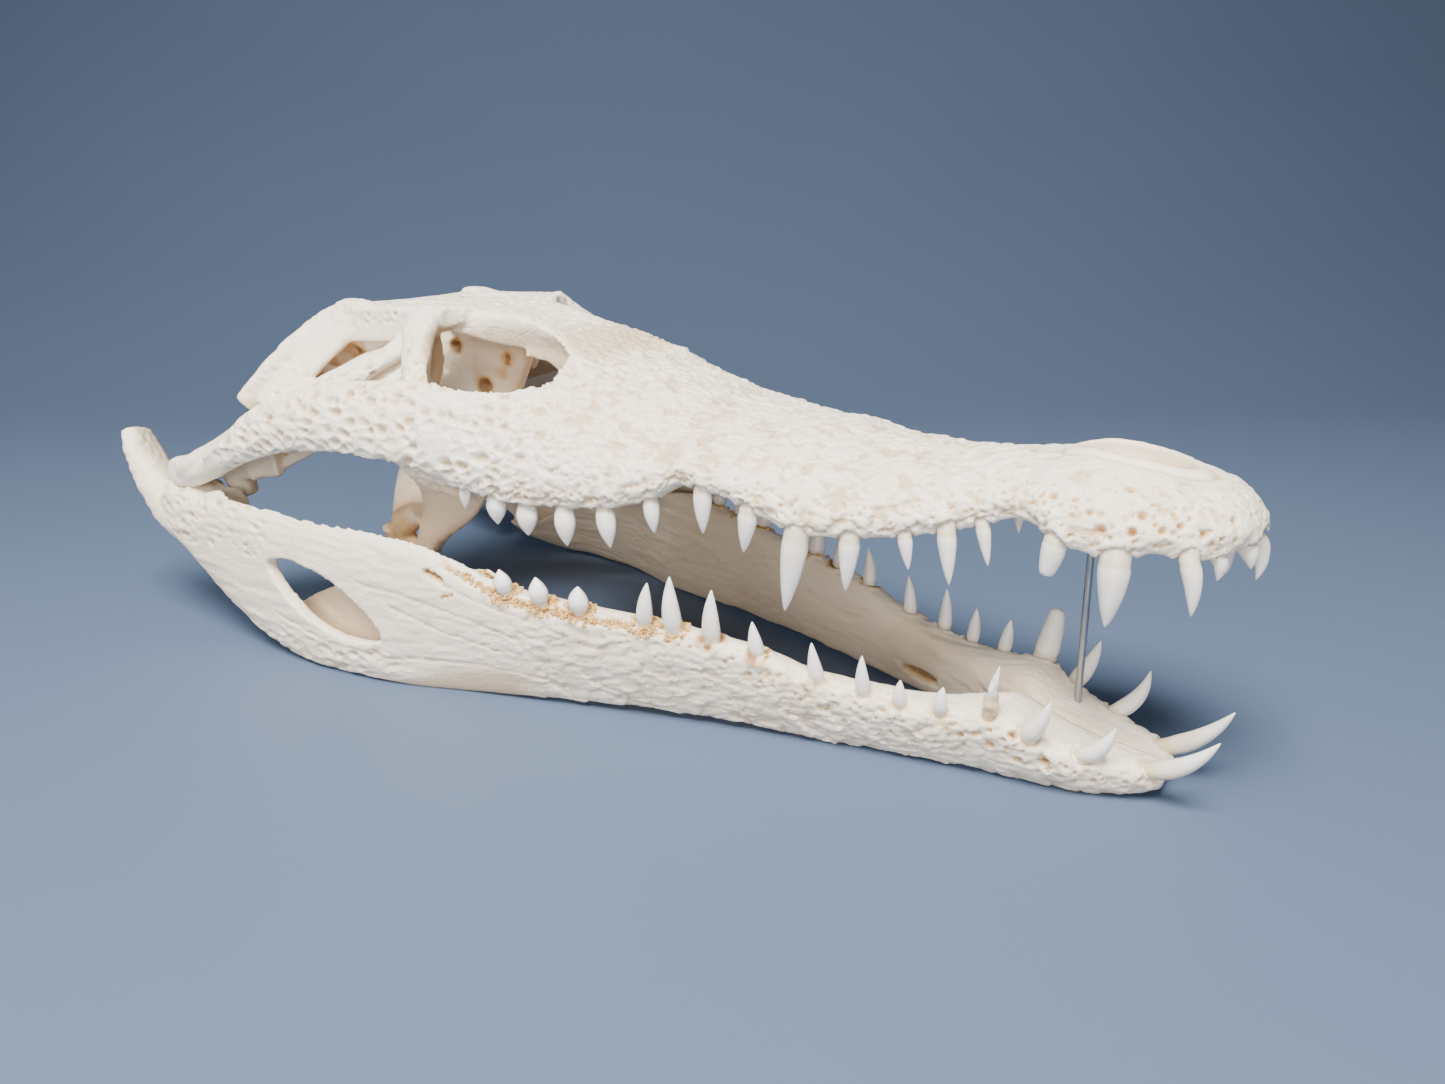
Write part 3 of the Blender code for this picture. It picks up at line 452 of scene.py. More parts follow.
def upperJaw():
    front = [264.5, 266.4, 267.6, snoutTip]
    stations = np.concatenate([np.arange(snoutRear, 240, 5.0), np.arange(240, 264, 3.0), front])
    loft("snoutDome", [snoutRing(x) for x in stations])


# Bars of the right side: stations, the way across each bar, and its section
cheekBars = (
    # Bar behind the eye
    ("postorbital", [(-73, -40, 152, 9.5, 6), (-66, -50, 144, 7.8, 5), (-56.5, -60, 136, 6.5, 4.6),
        (-45, -69, 127, 10.5, 5)], (1, 0, 0.2), {}),
    # Strut below the ear hollow, in front of the quadrate
    ("strut", [(-116, -86, 113, 7, 4), (-101, -74, 120.5, 4.6, 3.2), (-86, -60, 131.5, 4.4, 3.2),
        (-73, -44, 145, 6.5, 4)], (-0.8, 0.3, 0.5), {}),
    # Quadrate, a broad bar down to the jaw joint
    ("quadrate", [(-80, -27, 131, 13, 4.5), (-104, -34, 129, 21, 8), (-127, -52, 117.5, 20, 6.5),
        (-149, -69, 103.5, 17, 6), (-169, -82, 88.5, 15, 6), (-184, -87, 79.5, 14, 6.5),
        (-190, -87, 76, 12.5, 7)],
        [(0.1, -0.35, -0.9), (0.7, -0.6, 0.1), (0.6, -0.8, 0.1), (0.4, -0.9, 0.0), (0.2, -1, 0), (0, -1, 0),
         (0, -1, 0)], {}),
    # Sheet between the quadrate and the cheek bar
    ("quadrateWeb", [(-76, -40, 136, 13, 3.4), (-94, -52, 126, 18, 3.4), (-114, -68, 116, 19, 3.4),
        (-140, -83, 102, 17, 4), (-166, -90, 88, 12, 4.5)],
        [(0.5, -0.7, -0.4), (0.5, -0.7, -0.4), (0.5, -0.8, -0.3), (0.3, -1, -0.2), (0, -1, -0.2)], {}),
    # Jaw joint condyle and the knob on its inner side
    ("condyle", [(jointX, -condyleOuter, jointZ, 6.6, 6.6),
        (jointX, -95, jointZ, condyleRadius, condyleRadius), (jointX, -86, jointZ + 0.8, 6.8, 6.8),
        (jointX, -79, jointZ, condyleRadius, condyleRadius), (jointX, -condyleInner, jointZ, 6.2, 6.2)],
        (1, 0, 0), dict(power=2.0, steps=9)),
    ("knob", [(-184, -77, 80, 8, 6), (-181, -72.5, 69, 8.5, 6.5), (-180, -70.5, 61, 6.5, 5.5)],
        (1, 0, 0), dict(power=2.0, steps=7)),
    # Sheet on the inner side of the quadrate with its sharp corner
    ("quadrateFlange", [(-128, -26, 104, 12, 4), (-143, -48, 96, 13, 3.4), (-158, -68, 86, 12, 3.4),
        (-168, -76, 82, 12, 4)],
        [(0.9, -0.4, -0.1), (0.8, -0.4, -0.5), (0.6, -0.2, -0.8), (0.6, 0, -0.8)], {}),
    ("quadratePlate", [(-180, -75, 78, 9, 4), (-168, -73.5, 82, 11, 3.4), (-158, -72, 85, 12, 3.2),
        (-149, -71, 86, 11, 3)], (0, 0, 1), dict(power=4)),
    # Ectopterygoid, from the cheek bar down to the flange inside the jaw
    ("flange", [(-34, -80, 106, 25, 5.5), (-38, -69, 96, 27, 5), (-41, -63, 84, 20, 4.6),
        (-46.5, -60, 74, 13, 4.6), (-54, -58, 65, 9, 4.6), (-61, -57.5, 55, 6.5, 4.8),
        (-64.5, -57, 47, 5, 4.6)], (1, 0, 0.08), {}),
    # Rough pad on the rear edge of that flange
    ("pad", [(-67, -57.5, 68, 5, 4.4), (-76, -57, 62, 7, 5), (-85, -56, 55, 8, 5), (-78, -56, 50, 6, 4.5),
        (-64, -56.5, 47, 5, 4.4)], (0.6, 0, 0.8), dict(power=2.0)),
    # Wing of the pterygoid, from the middle out to that flange
    ("wing", [(-84, -2, 92, 30, 5), (-84, -22, 86, 27, 4), (-80, -40, 74, 20, 4), (-73, -56, 60, 12, 4.4)],
        (1, 0, 0), {}),
)


def cheekBones():
    # Jugal and quadratojugal, one long bar from the jaw joint to the upper jaw
    rows = (
        (-188, 98, 70.5, 92, 77), (-177, 98, 73, 93, 83), (-160, 98, 79, 92, 93.5),
        (-135, 97.5, 89.5, 91, 112), (-102, 96, 98.6, 87.5, 124.5), (-76, 92, 101, 82.5, 130),
        (-40, 86, 99.4, 72, 132.5), (-22, 81, 94, 66, 130.5), (-9, 78, 91, 61, 129.5),
        (8, 74, 89, 52, 126), (24, 69, 89, 46, 120),
    )
    thick = 4.2
    u, v = rounded(20, 1.0, 1.0, 2.6)
    for side, sign in (("R", -1), ("L", 1)):
        rings = []
        for x, yLow, zLow, yUp, zUp in through(rows, 26):
            edge = np.array([yUp - yLow, zUp - zLow])
            length = np.linalg.norm(edge)
            edge /= length
            outward = np.array([edge[1], -edge[0]])
            middle = np.array([(yLow + yUp) / 2, (zLow + zUp) / 2]) - outward * thick * 0.6
            bulge = 3.0 * (1 - u * u)
            flat = middle + u[:, None] * edge * length / 2 + (v * thick + bulge)[:, None] * outward
            rings.append([(x, sign * a, b) for a, b in flat])
        loft("jugal" + side, rings)
    for name, stations, across, shape in cheekBars:
        bothSides(name, stations, across, **shape)


# Bars of the right side under and behind the table
roofBars = (
    # Horn at each rear corner of the table
    ("horn", [(-110, -38, 151.5, 5, 4.5), (-123, -38.5, 153, 5, 4.5), (-132, -38.5, 152, 4.5, 4)],
        (0, 1, 0), dict(steps=8)),
    # Rear wall, spreading to a wing on each side
    ("rearWing", [(-136, -4, 132, 20, 6), (-138, -24, 133, 19, 5.5), (-145, -42, 129, 18, 5),
        (-157, -58, 118, 14, 4.6), (-168, -70, 106, 10, 4.4)],
        [(0, 0, 1), (0, 0, 1), (0.2, 0, 1), (0.5, 0, 1), (0.6, 0, 0.9)], {}),
    # Sheet from the rear corner of the table down to the tip of that wing
    ("rearEdge", [(-124, -39, 149, 9, 4.5), (-137, -46, 140, 12, 4), (-150, -57, 125, 13, 4),
        (-160, -68, 108, 9, 4)], (0.75, -0.1, -0.62), {}),
    # Wall of the ear hollow, between the braincase and the quadrate
    ("earWall", [(-140, -36, 127, 9, 3.4), (-120, -33, 131, 13, 3.4), (-100, -31, 134, 13, 3.4),
        (-82, -27, 138, 12, 3.4)], (0, 0.15, 1), dict(steps=8)),
)


def skullRoof():
    # the flat table over the brain
    top = tableTop
    rims = (
        (tableRear, 36, 137, top - 4), (tableRear + 3, 42, 135.5, top - 1.5),
        (-118, tableHalfWidth, 137, top - 0.5), (-95, tableHalfWidth, 139, top),
        (-75, tableHalfWidth, 142, top + 1), (tableFront - 4, 40, 147, top + 1), (tableFront, 32, 149, top),
    )

    def tableHeight(u, v, low, high):
        dish = 1.6 * np.clip(1 - u ** 2, 0, 1)
        return np.where(v > 0, high - dish + (v - 1) * 3, low + (v + 1) * 3 + 2 * dish)

    slab("table", rims, 18, 28, 5, tableHeight)
    # Frontal, its rims raised beside the eyes
    brow = (
        (-78, 33, 147, top), (-66, 31, 143, top + 1), (-50, 25, 139, 157), (-34, 21.5, 137.5, 154.5),
        (-20, 22, 136, 151.5), (-6, 27, 132, 148), (8, 34, 126, 143), (22, 36, 124, 137),
    )

    def browHeight(u, v, low, high):
        dish = 3.0 * np.clip(1 - u ** 2, 0, 1) ** 1.5
        tall = high - low
        return np.where(v > 0, high - dish + (v - 1) * tall * 0.45, low + (v + 1) * tall * 0.3)

    slab("frontal", brow, 20, 28, 3.2, browHeight)
    # Braincase under the table
    case = (
        (-136, 26, 108, 150), (-124, 27, 100, 150), (-108, 22, 98, 150), (-90, 15, 105.5, 152),
        (-76, 12, 106, 152), (-64, 8.5, 108, 152), (-56, 6.5, 118, 153), (-49, 5.5, 132, 153),
    )
    slab("braincase", case, 16, 20, 2.6, halfway)
    # Occipital condyle under the opening for the spinal cord
    ball("neckBall", (-146, 0, 114), (9, 7.5, 7))
    # Stem from the braincase down to the pterygoid
    column = [(-122, 0, 112, 14, 16), (-112, 0, 100, 16, 14), (-100, 0, 90, 20, 12)]
    sweep("stem", column, (1, 0, 0), steps=8)
    for name, stations, across, shape in roofBars:
        bothSides(name, stations, across, **shape)


def palateBones():
    # Palatines between the openings of the palate
    bars = ((-100, 22, 85, 96), (-70, 20, 87, 97), (-40, 14, 89, 98), (-5, 14, 90, 99), (30, 20, 91, 102))
    slab("palatines", bars, 14, 16, 2.8, halfway)


def craniumOpenings():
    cutters = []
    for sign in (-1, 1):
        # Eye opening, which narrows downward inside the cheek bar
        rim = closedCurve(eyeRim, 40)
        rings = []
        for z, most, tuck in ((62, 46, 0), (98, 48, 0), (108, 63, 0), (120, 66, 0), (127, 80, 1.5),
                              (140, 82, 2.5), (148, 83, 0.5), (175, 84, 0)):
            rings.append([(x, sign * (min(y, most) - tuck * (y < 34)), z) for x, y in rim])
        cutters.append(loft("orbitCut", rings))
        # Openings in the table
        w = upperWindow
        u, v = rounded(20, w["long"], w["wide"], 2.3)
        rings = []
        for z, spread in ((122, 0.8), (148, 0.9), (156, 1.0), (166, 1.1)):
            rings.append(np.stack([w["x"] + u * spread, sign * (w["y"] + v * spread), z + 0 * u], 1))
        cutters.append(loft("windowCut", rings))
    # Room between the eye sockets, under the frontal
    low = ((-44, 24, 136), (-20, 26, 134), (-6, 28, 130), (6, 30, 127), (12, 30, 120))
    high = ((-44, 11, 146), (-34, 11, 144.5), (-20, 11, 139), (-6, 12, 134))
    for room in (low, high):
        rows = []
        for x, wide, top in room:
            rows.append([(x, -wide, 102), (x, wide, 102), (x, wide, top), (x, -wide, top)])
        cutters.append(loft("betweenEyes", rows))
    # Hollow of the ear, under the edge of the table
    cutters += [ball("earCut", (-132, sign * 38.5, 129), (12, 8, 6.5)) for sign in (-1, 1)]
    n = nostril
    cutters.append(ball("nostrilCut", (n["x"], 0, n["z"]), (n["long"], n["wide"], n["deep"])))
    cord = [(-160, 0, 126, 7, 6), (-126, 0, 126, 6, 5)]
    cutters.append(sweep("cordCut", cord, (0, 1, 0), power=2, steps=4))
    return cutters


def jawSides(x, rise):
    # half widths of the inner and outer face, at a share of the height
    outTop, outBase, inner = (f(x) for f in (jawHalfWidthTop, jawHalfWidthBase, jawInner))
    outside = outBase + (outTop - outBase) * rise + 6 * rise * (1 - rise)
    foot = inner + (max(inner, outBase - 11) - inner) * np.clip((x + 140) / 40, 0, 1)
    inside = foot + (inner - foot) * np.clip(rise * 1.6, 0, 1)
    return inside, outside


def jawRing(x, sign):
    # section of one half of the lower jaw
    top, base = jawTop(x), jawBase(x)
    u, v = rounded(28, 1.0, 1.0, 3.4)
    inside, outside = jawSides(x, (v + 1) / 2)
    y = inside + (outside - inside) * (u + 1) / 2
    z = (top + base) / 2 + v * (top - base) / 2
    return np.stack([x + 0 * u, sign * y, z], 1)


def jawHalf(sign):
    stations = np.concatenate([np.arange(-200, 232, 6.0), [236, 240, 244, 247, 249.5]])
    loft("ramus", [jawRing(x, sign) for x in stations])
    # Joint block with its cup, and the process behind it
    sweep("jointBlock", [(-166, sign * 91, 48, 11, 14), (-180, sign * 89, 53, 13, 15),
                         (-196, sign * 88, 58, 14, 13), (-208, sign * 87.5, 60, 12, 10)], (0, 1, 0), power=3)
    sweep("rearProcess", [(-190, sign * 89, 47, 13, 12), (-210, sign * 89, 52, 12.5, 11),
                          (-226, sign * 88.5, 62, 12, 8.5), (-239, sign * 87.5, 75, 12, 6.5),
                          (-247, sign * 86.5, 88, 9.5, 4.8)], (-0.55, -sign * 0.83, 0), power=2.4)


def jawOpenings(sign):
    # the muscle hollow inside the rear half, the top of its inner wall and the outer window
    hollow, innerWall = [], []
    for x in np.arange(-168, 15, 6.0):
        top, base, wall = jawTop(x), jawBase(x), jawInnerWall(x)
        close = min(1.0, max(0.1, (14 - x) / 40), max(0.1, (x + 172) / 20))
        floor = base + 7 + (1 - close) * 30
        low, high = (jawSides(x, (z - base) / (top - base)) for z in (floor, top))
        spans = []
        for (inside, outside), z in ((low, floor), (high, top + 30)):
            middle, half = (inside + outside) / 2, (outside - inside - 9) / 2 * close
            spans.append([(x, sign * (middle - half), z), (x, sign * (middle + half), z)])
        hollow.append(spans[0] + spans[1][::-1])
        middle = (high[0] + high[1]) / 2
        innerWall.append([(x, sign * (middle - 40), wall), (x, sign * middle, wall),
                          (x, sign * middle, 105), (x, sign * (middle - 40), 105)])
    w = jawWindow
    turn = np.linspace(0, 2 * np.pi, 28, endpoint=False)
    u, v = w["long"] * np.cos(turn), w["high"] * np.sin(turn) * abs(np.sin(turn)) ** 0.35
    tilt = math.radians(w["tilt"])
    x = w["x"] + u * math.cos(tilt) - v * math.sin(tilt)
    z = w["z"] + u * math.sin(tilt) + v * math.cos(tilt)
    leaf = [np.stack([x, 0 * x + sign * y, z], 1) for y in (89, 115)]
    return [loft("hollowCut", hollow), loft("wallCut", innerWall), loft("leafCut", leaf)]


def jointCups(sign):
    # hollows of the lower jaw that hold the condyle and the knob beside it
    radius = condyleRadius + gap
    ends = [(jointX, sign * y, jointZ, radius, radius) for y in (condyleOuter + 8, condyleInner - 12)]
    return [
        sweep("cupCut", ends, (1, 0, 0), power=2, count=24, steps=3),
        ball("knobCut", (-181, sign * 71.5, 66), (11, 9, 15)),
    ]


# Size of the skin's cells in mm, rounds of smoothing, and the depth that counts as a full hollow, painted in
# full shade
skin = dict(voxel=0.85, jawVoxel=0.95, firstSoft=3, lastSoft=3, hollowAt=1.1)


# Noise and scattered cells, for numpy points

def scattered(cells, seed):
    # one number from 0 to 1 for each cell
    x, y, z = (cells[..., k] & 0xFFFFFFFF for k in range(3))
    n = (x * 374761393 + y * 668265263 + z * 2147483647 + seed * 144665 + 7) & 0xFFFFFFFF
    n = ((n ^ (n >> 13)) * 1274126177) & 0xFFFFFFFF
    n = ((n ^ (n >> 15)) * 2246822519) & 0xFFFFFFFF
    return ((n ^ (n >> 16)) & 0xFFFFFF) / float(0x1000000)


def noise(points, seed=0):
    cell = np.floor(points).astype(np.int64)
    part = points - cell
    part = part * part * (3 - 2 * part)
    total = 0.0
    for corner in itertools.product((0, 1), repeat=3):
        weight = np.prod(np.where(corner, part, 1 - part), axis=1)
        total = total + weight * scattered(cell + np.array(corner), seed)
    return total


def roughNoise(points, octaves, seed=0):
    total, share = 0.0, 1.0
    for k in range(octaves):
        total = total + share * (noise(points * 2 ** k, seed + k) - 0.5)
        share *= 0.5
    return total


def cells(points, seed=0):
    # distance to the nearest scattered point and to the second, a number of the nearest, and the way to it
    cell = np.floor(points).astype(np.int64)
    near = np.full(len(points), 9.0)
    second = near.copy()
    owner = np.zeros(len(points))
    way = np.zeros((len(points), 3))
    for step in itertools.product((-1, 0, 1), repeat=3):
        other = cell + np.array(step)
        reach = other + np.stack([scattered(other, seed + k) for k in (1, 2, 3)], 1) - points
        away = np.linalg.norm(reach, axis=1)
        closer = away < near
        second = np.where(closer, near, np.minimum(second, away))
        owner = np.where(closer, scattered(other, seed + 9), owner)
        way = np.where(closer[:, None], reach, way)
        near = np.where(closer, away, near)
    return near, second, owner, way


def ramp(value, low, high):
    t = np.clip((value - low) / (high - low), 0, 1)
    return t * t * (3 - 2 * t)


def band(value, low, high, soft):
    return ramp(value, low - soft, low + soft) * (1 - ramp(value, high - soft, high + soft))


def store(mesh, label, values):
    # one number for each vertex, which the materials read
    layer = mesh.attributes.new(label, "FLOAT", "POINT")
    layer.data.foreach_set("value", values.astype(np.float32))


# The bone's surface: where each vertex is, which way it faces, and what is carved there

class Surface:
    def __init__(self, obj):
        mesh = obj.data
        self.mesh = mesh
        self.start = self.read(mesh.vertices, "co", 3) / metre
        self.normal = self.read(mesh.vertex_normals, "vector", 3)
        self.points = unsettled(self.start)
        self.x, self.y, self.z = self.points.T
        self.out = self.normal[:, 1] * np.sign(self.y)
        self.height, self.stain, self.tan = np.zeros((3, len(self.x)))

    def read(self, source, label, width):
        flat = np.empty(len(self.mesh.vertices) * width, np.float32)
        source.foreach_get(label, flat)
        return flat.reshape(-1, width).astype(float)

    def darken(self, stain, some=slice(None)):
        self.stain[some] = np.maximum(self.stain[some], stain)

    def within(self, spot, radius):
        box = np.abs(self.points - spot).max(1) < radius
        some = np.nonzero(box)[0]
        away = np.linalg.norm(self.points[some] - spot, axis=1)
        return some[away < radius], away[away < radius]

    def nearest(self, spot, reach=12):
        some, away = self.within(np.array(spot, float), reach)
        return None if len(some) == 0 else self.points[some[np.argmin(away)]]

    def hole(self, spot, radius, depth, stain=0.7):
        # a small round opening, with its edge left sharp and its inside darkened as painted shade
        middle = self.nearest(spot)
        if middle is None:
            return
        some, away = self.within(middle, radius * 1.5)
        inside = 1 - ramp(away / radius, 0.55, 1.2)
        self.height[some] = np.minimum(self.height[some], self.height[some] * (1 - inside) - depth * inside)
        self.darken(stain * (1 - ramp(away / radius, 0.5, 1.25)), some)

    def crease(self, line, width, depth, where):
        # a narrow groove that follows a line drawn in x and z
        wander = 0.9 * (noise(self.points / 5.0, 351) - 0.5)
        spot = np.stack([self.x, self.z + wander], 1)
        away = np.full(len(spot), 1e3)
        for start, end in zip(line[:-1], line[1:]):
            start, run = np.array(start, float), np.subtract(end, start)
            share = np.clip((spot - start) @ run / (run @ run), 0, 1)
            away = np.minimum(away, np.linalg.norm(spot - start - share[:, None] * run, axis=1))
        cut = where * np.exp(-(away / width) ** 2)
        self.height -= depth * cut
        self.darken(0.22 * cut)

    def finish(self):
        moved = (settled(self.points) + self.normal * self.height[:, None]) * metre
        moved = np.clip(moved, *cadBox)
        self.mesh.vertices.foreach_set("co", moved.astype(np.float32).ravel())
        # carved depth, which the materials paint as shade in the hollows and use for roughness
        hollow = -self.height / skin["hollowAt"]
        for label, values in (("hollow", hollow), ("stain", self.stain), ("tan", self.tan)):
            store(self.mesh, label, np.clip(values, 0, 1))
        self.mesh.update()


pits = dict(cheekCell=5.0, cheekDepth=2.7, rim=0.85, tableCell=4.4, tableDepth=1.1)
plates = dict(long=11.0, high=4.6, tilt=0.95, crease=0.5, lumps=1.3, wrinkle=0.95)
grooves = dict(long=26.0, across=1.5, depth=0.6, plate=(15.0, 3.4, 3.4), tilt=0.8, crease=0.6)


def pitted(points, seed):
    # distance to the middle of a pit, thickness left towards the next pit, and a number of its own
    near, second, owner, _ = cells(points, seed)
    return near, second - near, owner


def overlapped(points, size, seed):
    # lumps like laid plates: each rises forward and drops to the next, with a crease between
    near, second, owner, way = cells(points / size, seed)
    rise = np.clip(-way[:, 0], -0.6, 0.6)
    crease = 1 - ramp(second - near, 0.0, 0.2)
    return rise, crease * (0.3 + 0.7 * owner)


def warped(points, amount, size, seed):
    shiftBy = np.stack([noise(points / size, seed + k) - 0.5 for k in range(3)], 1)
    return points + 2 * amount * shiftBy


def carveCranium(s):
    p = s.points
    up = s.normal[:, 2]
    side = np.abs(s.y)
    outer = ramp(s.out, 0.05, 0.5)
    cheek = outer * ramp(side, 54, 64) * band(s.x, -150, 16, 16) * ramp(s.z, 80, 86)
    table = ramp(up, 0.35, 0.8) * ramp(s.z, 138, 148) * (1 - ramp(s.x, -14, 14))
    table = np.maximum(table, ramp(s.z, 143, 148) * ramp(s.out, 0.3, 0.8) * (1 - ramp(s.x, -60, -50)))
    face = ramp(s.x, -18, 12) * ramp(up + 0.9 * outer, 0.05, 0.4)
    snoutEnd = ramp(s.x, 188, 204)
    n = nostril
    oval = np.hypot((s.x - n["x"]) / (n["long"] * 0.97), s.y / (n["wide"] * 0.97))
    naris = (1 - ramp(oval, 1.2, 1.5)) * ramp(s.z, 108, 114) * ramp(s.x, 196, 204)
    rough = face * (1 - 0.5 * snoutEnd) * (1 - naris)
    # Pits of the cheek, long in the run of the bone, with walls like a net
    bent = warped(p, 1.3, 7, 11) / (1.45, 1.0, 1.0)
    near, wall, owner = pitted(bent / pits["cheekCell"], 21)
    bowl = 1 - ramp(near, 0.1, 0.5)
    net = 1 - ramp(wall, 0.0, 0.3)
    s.height += cheek * (pits["rim"] * net - pits["cheekDepth"] * (0.3 + 0.85 * owner) * bowl)
    near, wall, owner = pitted(bent / (0.42 * pits["cheekCell"]), 31)
    s.height += cheek * -0.8 * (1 - ramp(near, 0.05, 0.4)) * (owner > 0.5)
    # Pits of the table
    near, wall, owner = pitted(warped(p, 1.0, 6, 41) / pits["tableCell"], 51)
    bowl = 1 - ramp(near, 0.1, 0.48)
    s.height += table * (0.3 * (1 - ramp(wall, 0, 0.4)) - pits["tableDepth"] * (0.3 + owner) * bowl)
    # Creased, lumpy skin of the face
    c = plates
    rise, crease = overlapped(warped(p, 3.0, 12, 61), (c["long"], c["high"], c["high"]), 71)
    s.height += rough * (c["tilt"] * rise - c["crease"] * crease + c["lumps"] * roughNoise(p / 8, 3, 101))
    fold = 1 - np.abs(2 * noise(warped(p, 2.4, 7, 81) / (8.5, 2.5, 2.5), 91) - 1)
    s.height -= rough * c["wrinkle"] * ramp(fold, 0.78, 1.0)
    rise, crease = overlapped(warped(p, 1.5, 6, 131), (4.6, 2.8, 2.8), 141)
    s.height += rough * (0.34 * rise - 0.24 * crease)
    # Blunt lumps and small pits of the snout's end
    end = face * snoutEnd * (1 - naris)
    near, wall, owner = pitted(warped(p, 1.4, 7, 151) / 3.6, 161)
    s.height += end * (0.7 * roughNoise(p / 6, 3, 171) - 1.0 * (1 - ramp(near, 0.1, 0.45)) * (owner > 0.55))
    # Rim of the nostril, smooth and raised, with a crease outside it
    lip = naris * ramp(up, -0.2, 0.3)
    s.height += lip * (0.8 * np.exp(-((oval - 1.0) / 0.09) ** 2) - 1.0 * np.exp(-((oval - 1.24) / 0.07) ** 2))
    # Everything else is nearly smooth
    plain = 1 - np.clip(cheek + table + rough + end, 0, 1)
    s.height += plain * 0.45 * roughNoise(p / (9.0, 5.0, 5.0), 3, 111)
    s.height += 0.14 * roughNoise(p / 1.8, 2, 121)
    # Painted shade in tan on the inner faces, the undersides, the room between the eyes, the low flange and
    # inside the nostril; ochre and brown in the hollows, real stain on the pad and painted shade in the
    # cavities and holes
    hidden = (1 - outer) * (side < 80)
    s.tan = 0.55 * ramp(-up, 0.1, 0.8) * hidden
    s.tan += 0.75 * hidden * (1 - ramp(s.x, 8, 20)) * (1 - ramp(s.z, 146, 151))
    room = band(s.x, -76, -2, 3) * (side < 30) * (1 - ramp(s.z, 143, 149)) * (1 - ramp(up, 0.3, 0.7))
    s.tan = np.maximum(s.tan, 0.75 * room)
    s.tan = np.maximum(s.tan, 0.9 * band(s.x, -95, -15, 6) * band(side, 36, 74, 4) * (1 - ramp(s.z, 82, 92)))
    s.tan = np.maximum(s.tan, 0.85 * (1 - ramp(oval, 0.86, 1.0)) * ramp(s.z, 106, 112))
    # Darken the hollows: painted shade in cavities, holes and on inner faces, real ochre stain on the pad
    for spots, innerOnly in ((hollows, False), (innerShade, True)):
        for ((x, y, z), radius, most), sign in itertools.product(spots, (-1, 1)):
            some, away = s.within(np.array([x, sign * y, z]), radius)
            if innerOnly:
                some, away = some[hidden[some] > 0.6], away[hidden[some] > 0.6]
            patchy = 0.6 + 0.8 * noise(s.points[some] / 3.0, 181)
            s.darken(most * (1 - ramp(away / radius, 0.45, 1.0)) * patchy, some)


# Darkened hollows, real ochre stain on the rough pad and painted shade in the cavities and holes: middle on
# the left, radius and how dark
hollows = (
    ((-130, 34, 129), 15, 0.75), ((-118, 30, 131), 8, 0.9), ((-84, 13, 136), 6, 0.8), ((-57, 7, 131), 6, 0.8),
    ((-70, 10, 118), 7, 0.85), ((-78, 56, 60), 16, 0.6), ((-66, 57, 84), 9, 0.4), ((-112, 24, 128), 12, 0.7),
    ((-60, 9, 124), 6, 0.45),
)
# Painted shade in the same columns, on the inner faces only
innerShade = (((-118, 70, 108), 34, 0.62), ((-40, 62, 104), 26, 0.4))
# Holes for vessels and nerves that stand out: place on the right, radius and depth
snoutHoles = (
    ((237.6, -31.7, 112.1), 1.5, 2.4), ((226.8, -36.5, 106.0), 1.7, 2.6), ((236.0, -35.0, 106.5), 1.7, 2.8),
    ((209.7, -31.6, 113.6), 1.3, 2.0), ((231.7, -25.1, 118.3), 1.4, 2.0), ((244.2, -31.9, 107.5), 1.3, 2.0),
    ((248.3, -28.3, 109.6), 1.3, 2.0), ((254.5, -25.2, 107.3), 1.4, 2.0), ((261.5, -16.8, 110.9), 1.2, 2.0),
    ((222.5, -34.2, 111.1), 1.2, 1.8),
)
caseHoles = (((-84, -13, 136), 2.6, 3.0), ((-58, -7, 131), 2.2, 2.5), ((-70, -10, 118), 3.0, 3.0))
jawHoles = (
    ((203.5, -29.1, 25.0), 1.8, 2.6), ((214.4, -26.6, 16.5), 2.0, 2.6), ((204.7, -27.6, 15.2), 1.6, 2.4),
    ((195.5, -30.0, 19.1), 1.4, 2.2), ((185.1, -31.9, 20.2), 1.3, 2.0),
)


# Rows of small openings for vessels: distance from the tooth margin, rear and front end; each opening is
# darkened inside as painted shade
upperHoles = dict(
    rows=((4.2, -20, 262), (7.5, 20, 262), (11.0, 90, 262), (15.0, 110, 258), (19.5, 198, 254)),
    margin=upperMargin, width=upperHalfWidth, way=1, step=4.2, left=0.25, leftMore=0.1, wander=1.8,
    radius=(0.65, 1.05), stain=(0.55, 0.9),
)
lowerHoles = dict(
    rows=((5.0, 60, 246), (8.0, 100, 246), (11.5, 110, 242), (15.5, 130, 236)),
    margin=jawTop, width=jawHalfWidthTop, way=-1, step=4.8, left=0.2, leftMore=0.12, wander=1.6,
    radius=(0.7, 1.2), stain=None,
)
holesAlong = dict(seed=5, shift=2.6, depth=(1.0, 1.8), snoutEnd=46)


def drawHoles(s, kind, sign, draw):
    for row, (low, rear, front) in enumerate(kind["rows"]):
        for x in np.arange(rear, front, kind["step"]):
            x = x + draw.uniform(-holesAlong["shift"], holesAlong["shift"])
            if draw.random() < kind["left"] + kind["leftMore"] * row:
                continue
            z = kind["margin"](x) + kind["way"] * low + draw.uniform(-kind["wander"], kind["wander"])
            radius, depth = draw.uniform(*kind["radius"]), draw.uniform(*holesAlong["depth"])
            stain = draw.uniform(*kind["stain"]) if kind["stain"] else 0.7
            s.hole((x, sign * kind["width"](x), z), radius, depth, stain)


def drawSnoutEnd(s, sign, draw):
    for _ in range(holesAlong["snoutEnd"]):
        x = draw.uniform(186, 262)
        spot = (x, sign * upperHalfWidth(x), upperMargin(x) + draw.uniform(5, 27))
        s.hole(spot, draw.uniform(0.5, 1.0), draw.uniform(0.8, 1.5), draw.uniform(0.5, 0.9))


def placeHoles(s, holes, sign, stain):
    for (x, y, z), radius, depth in holes:
        s.hole((x, y * -sign, z), radius, depth, stain)


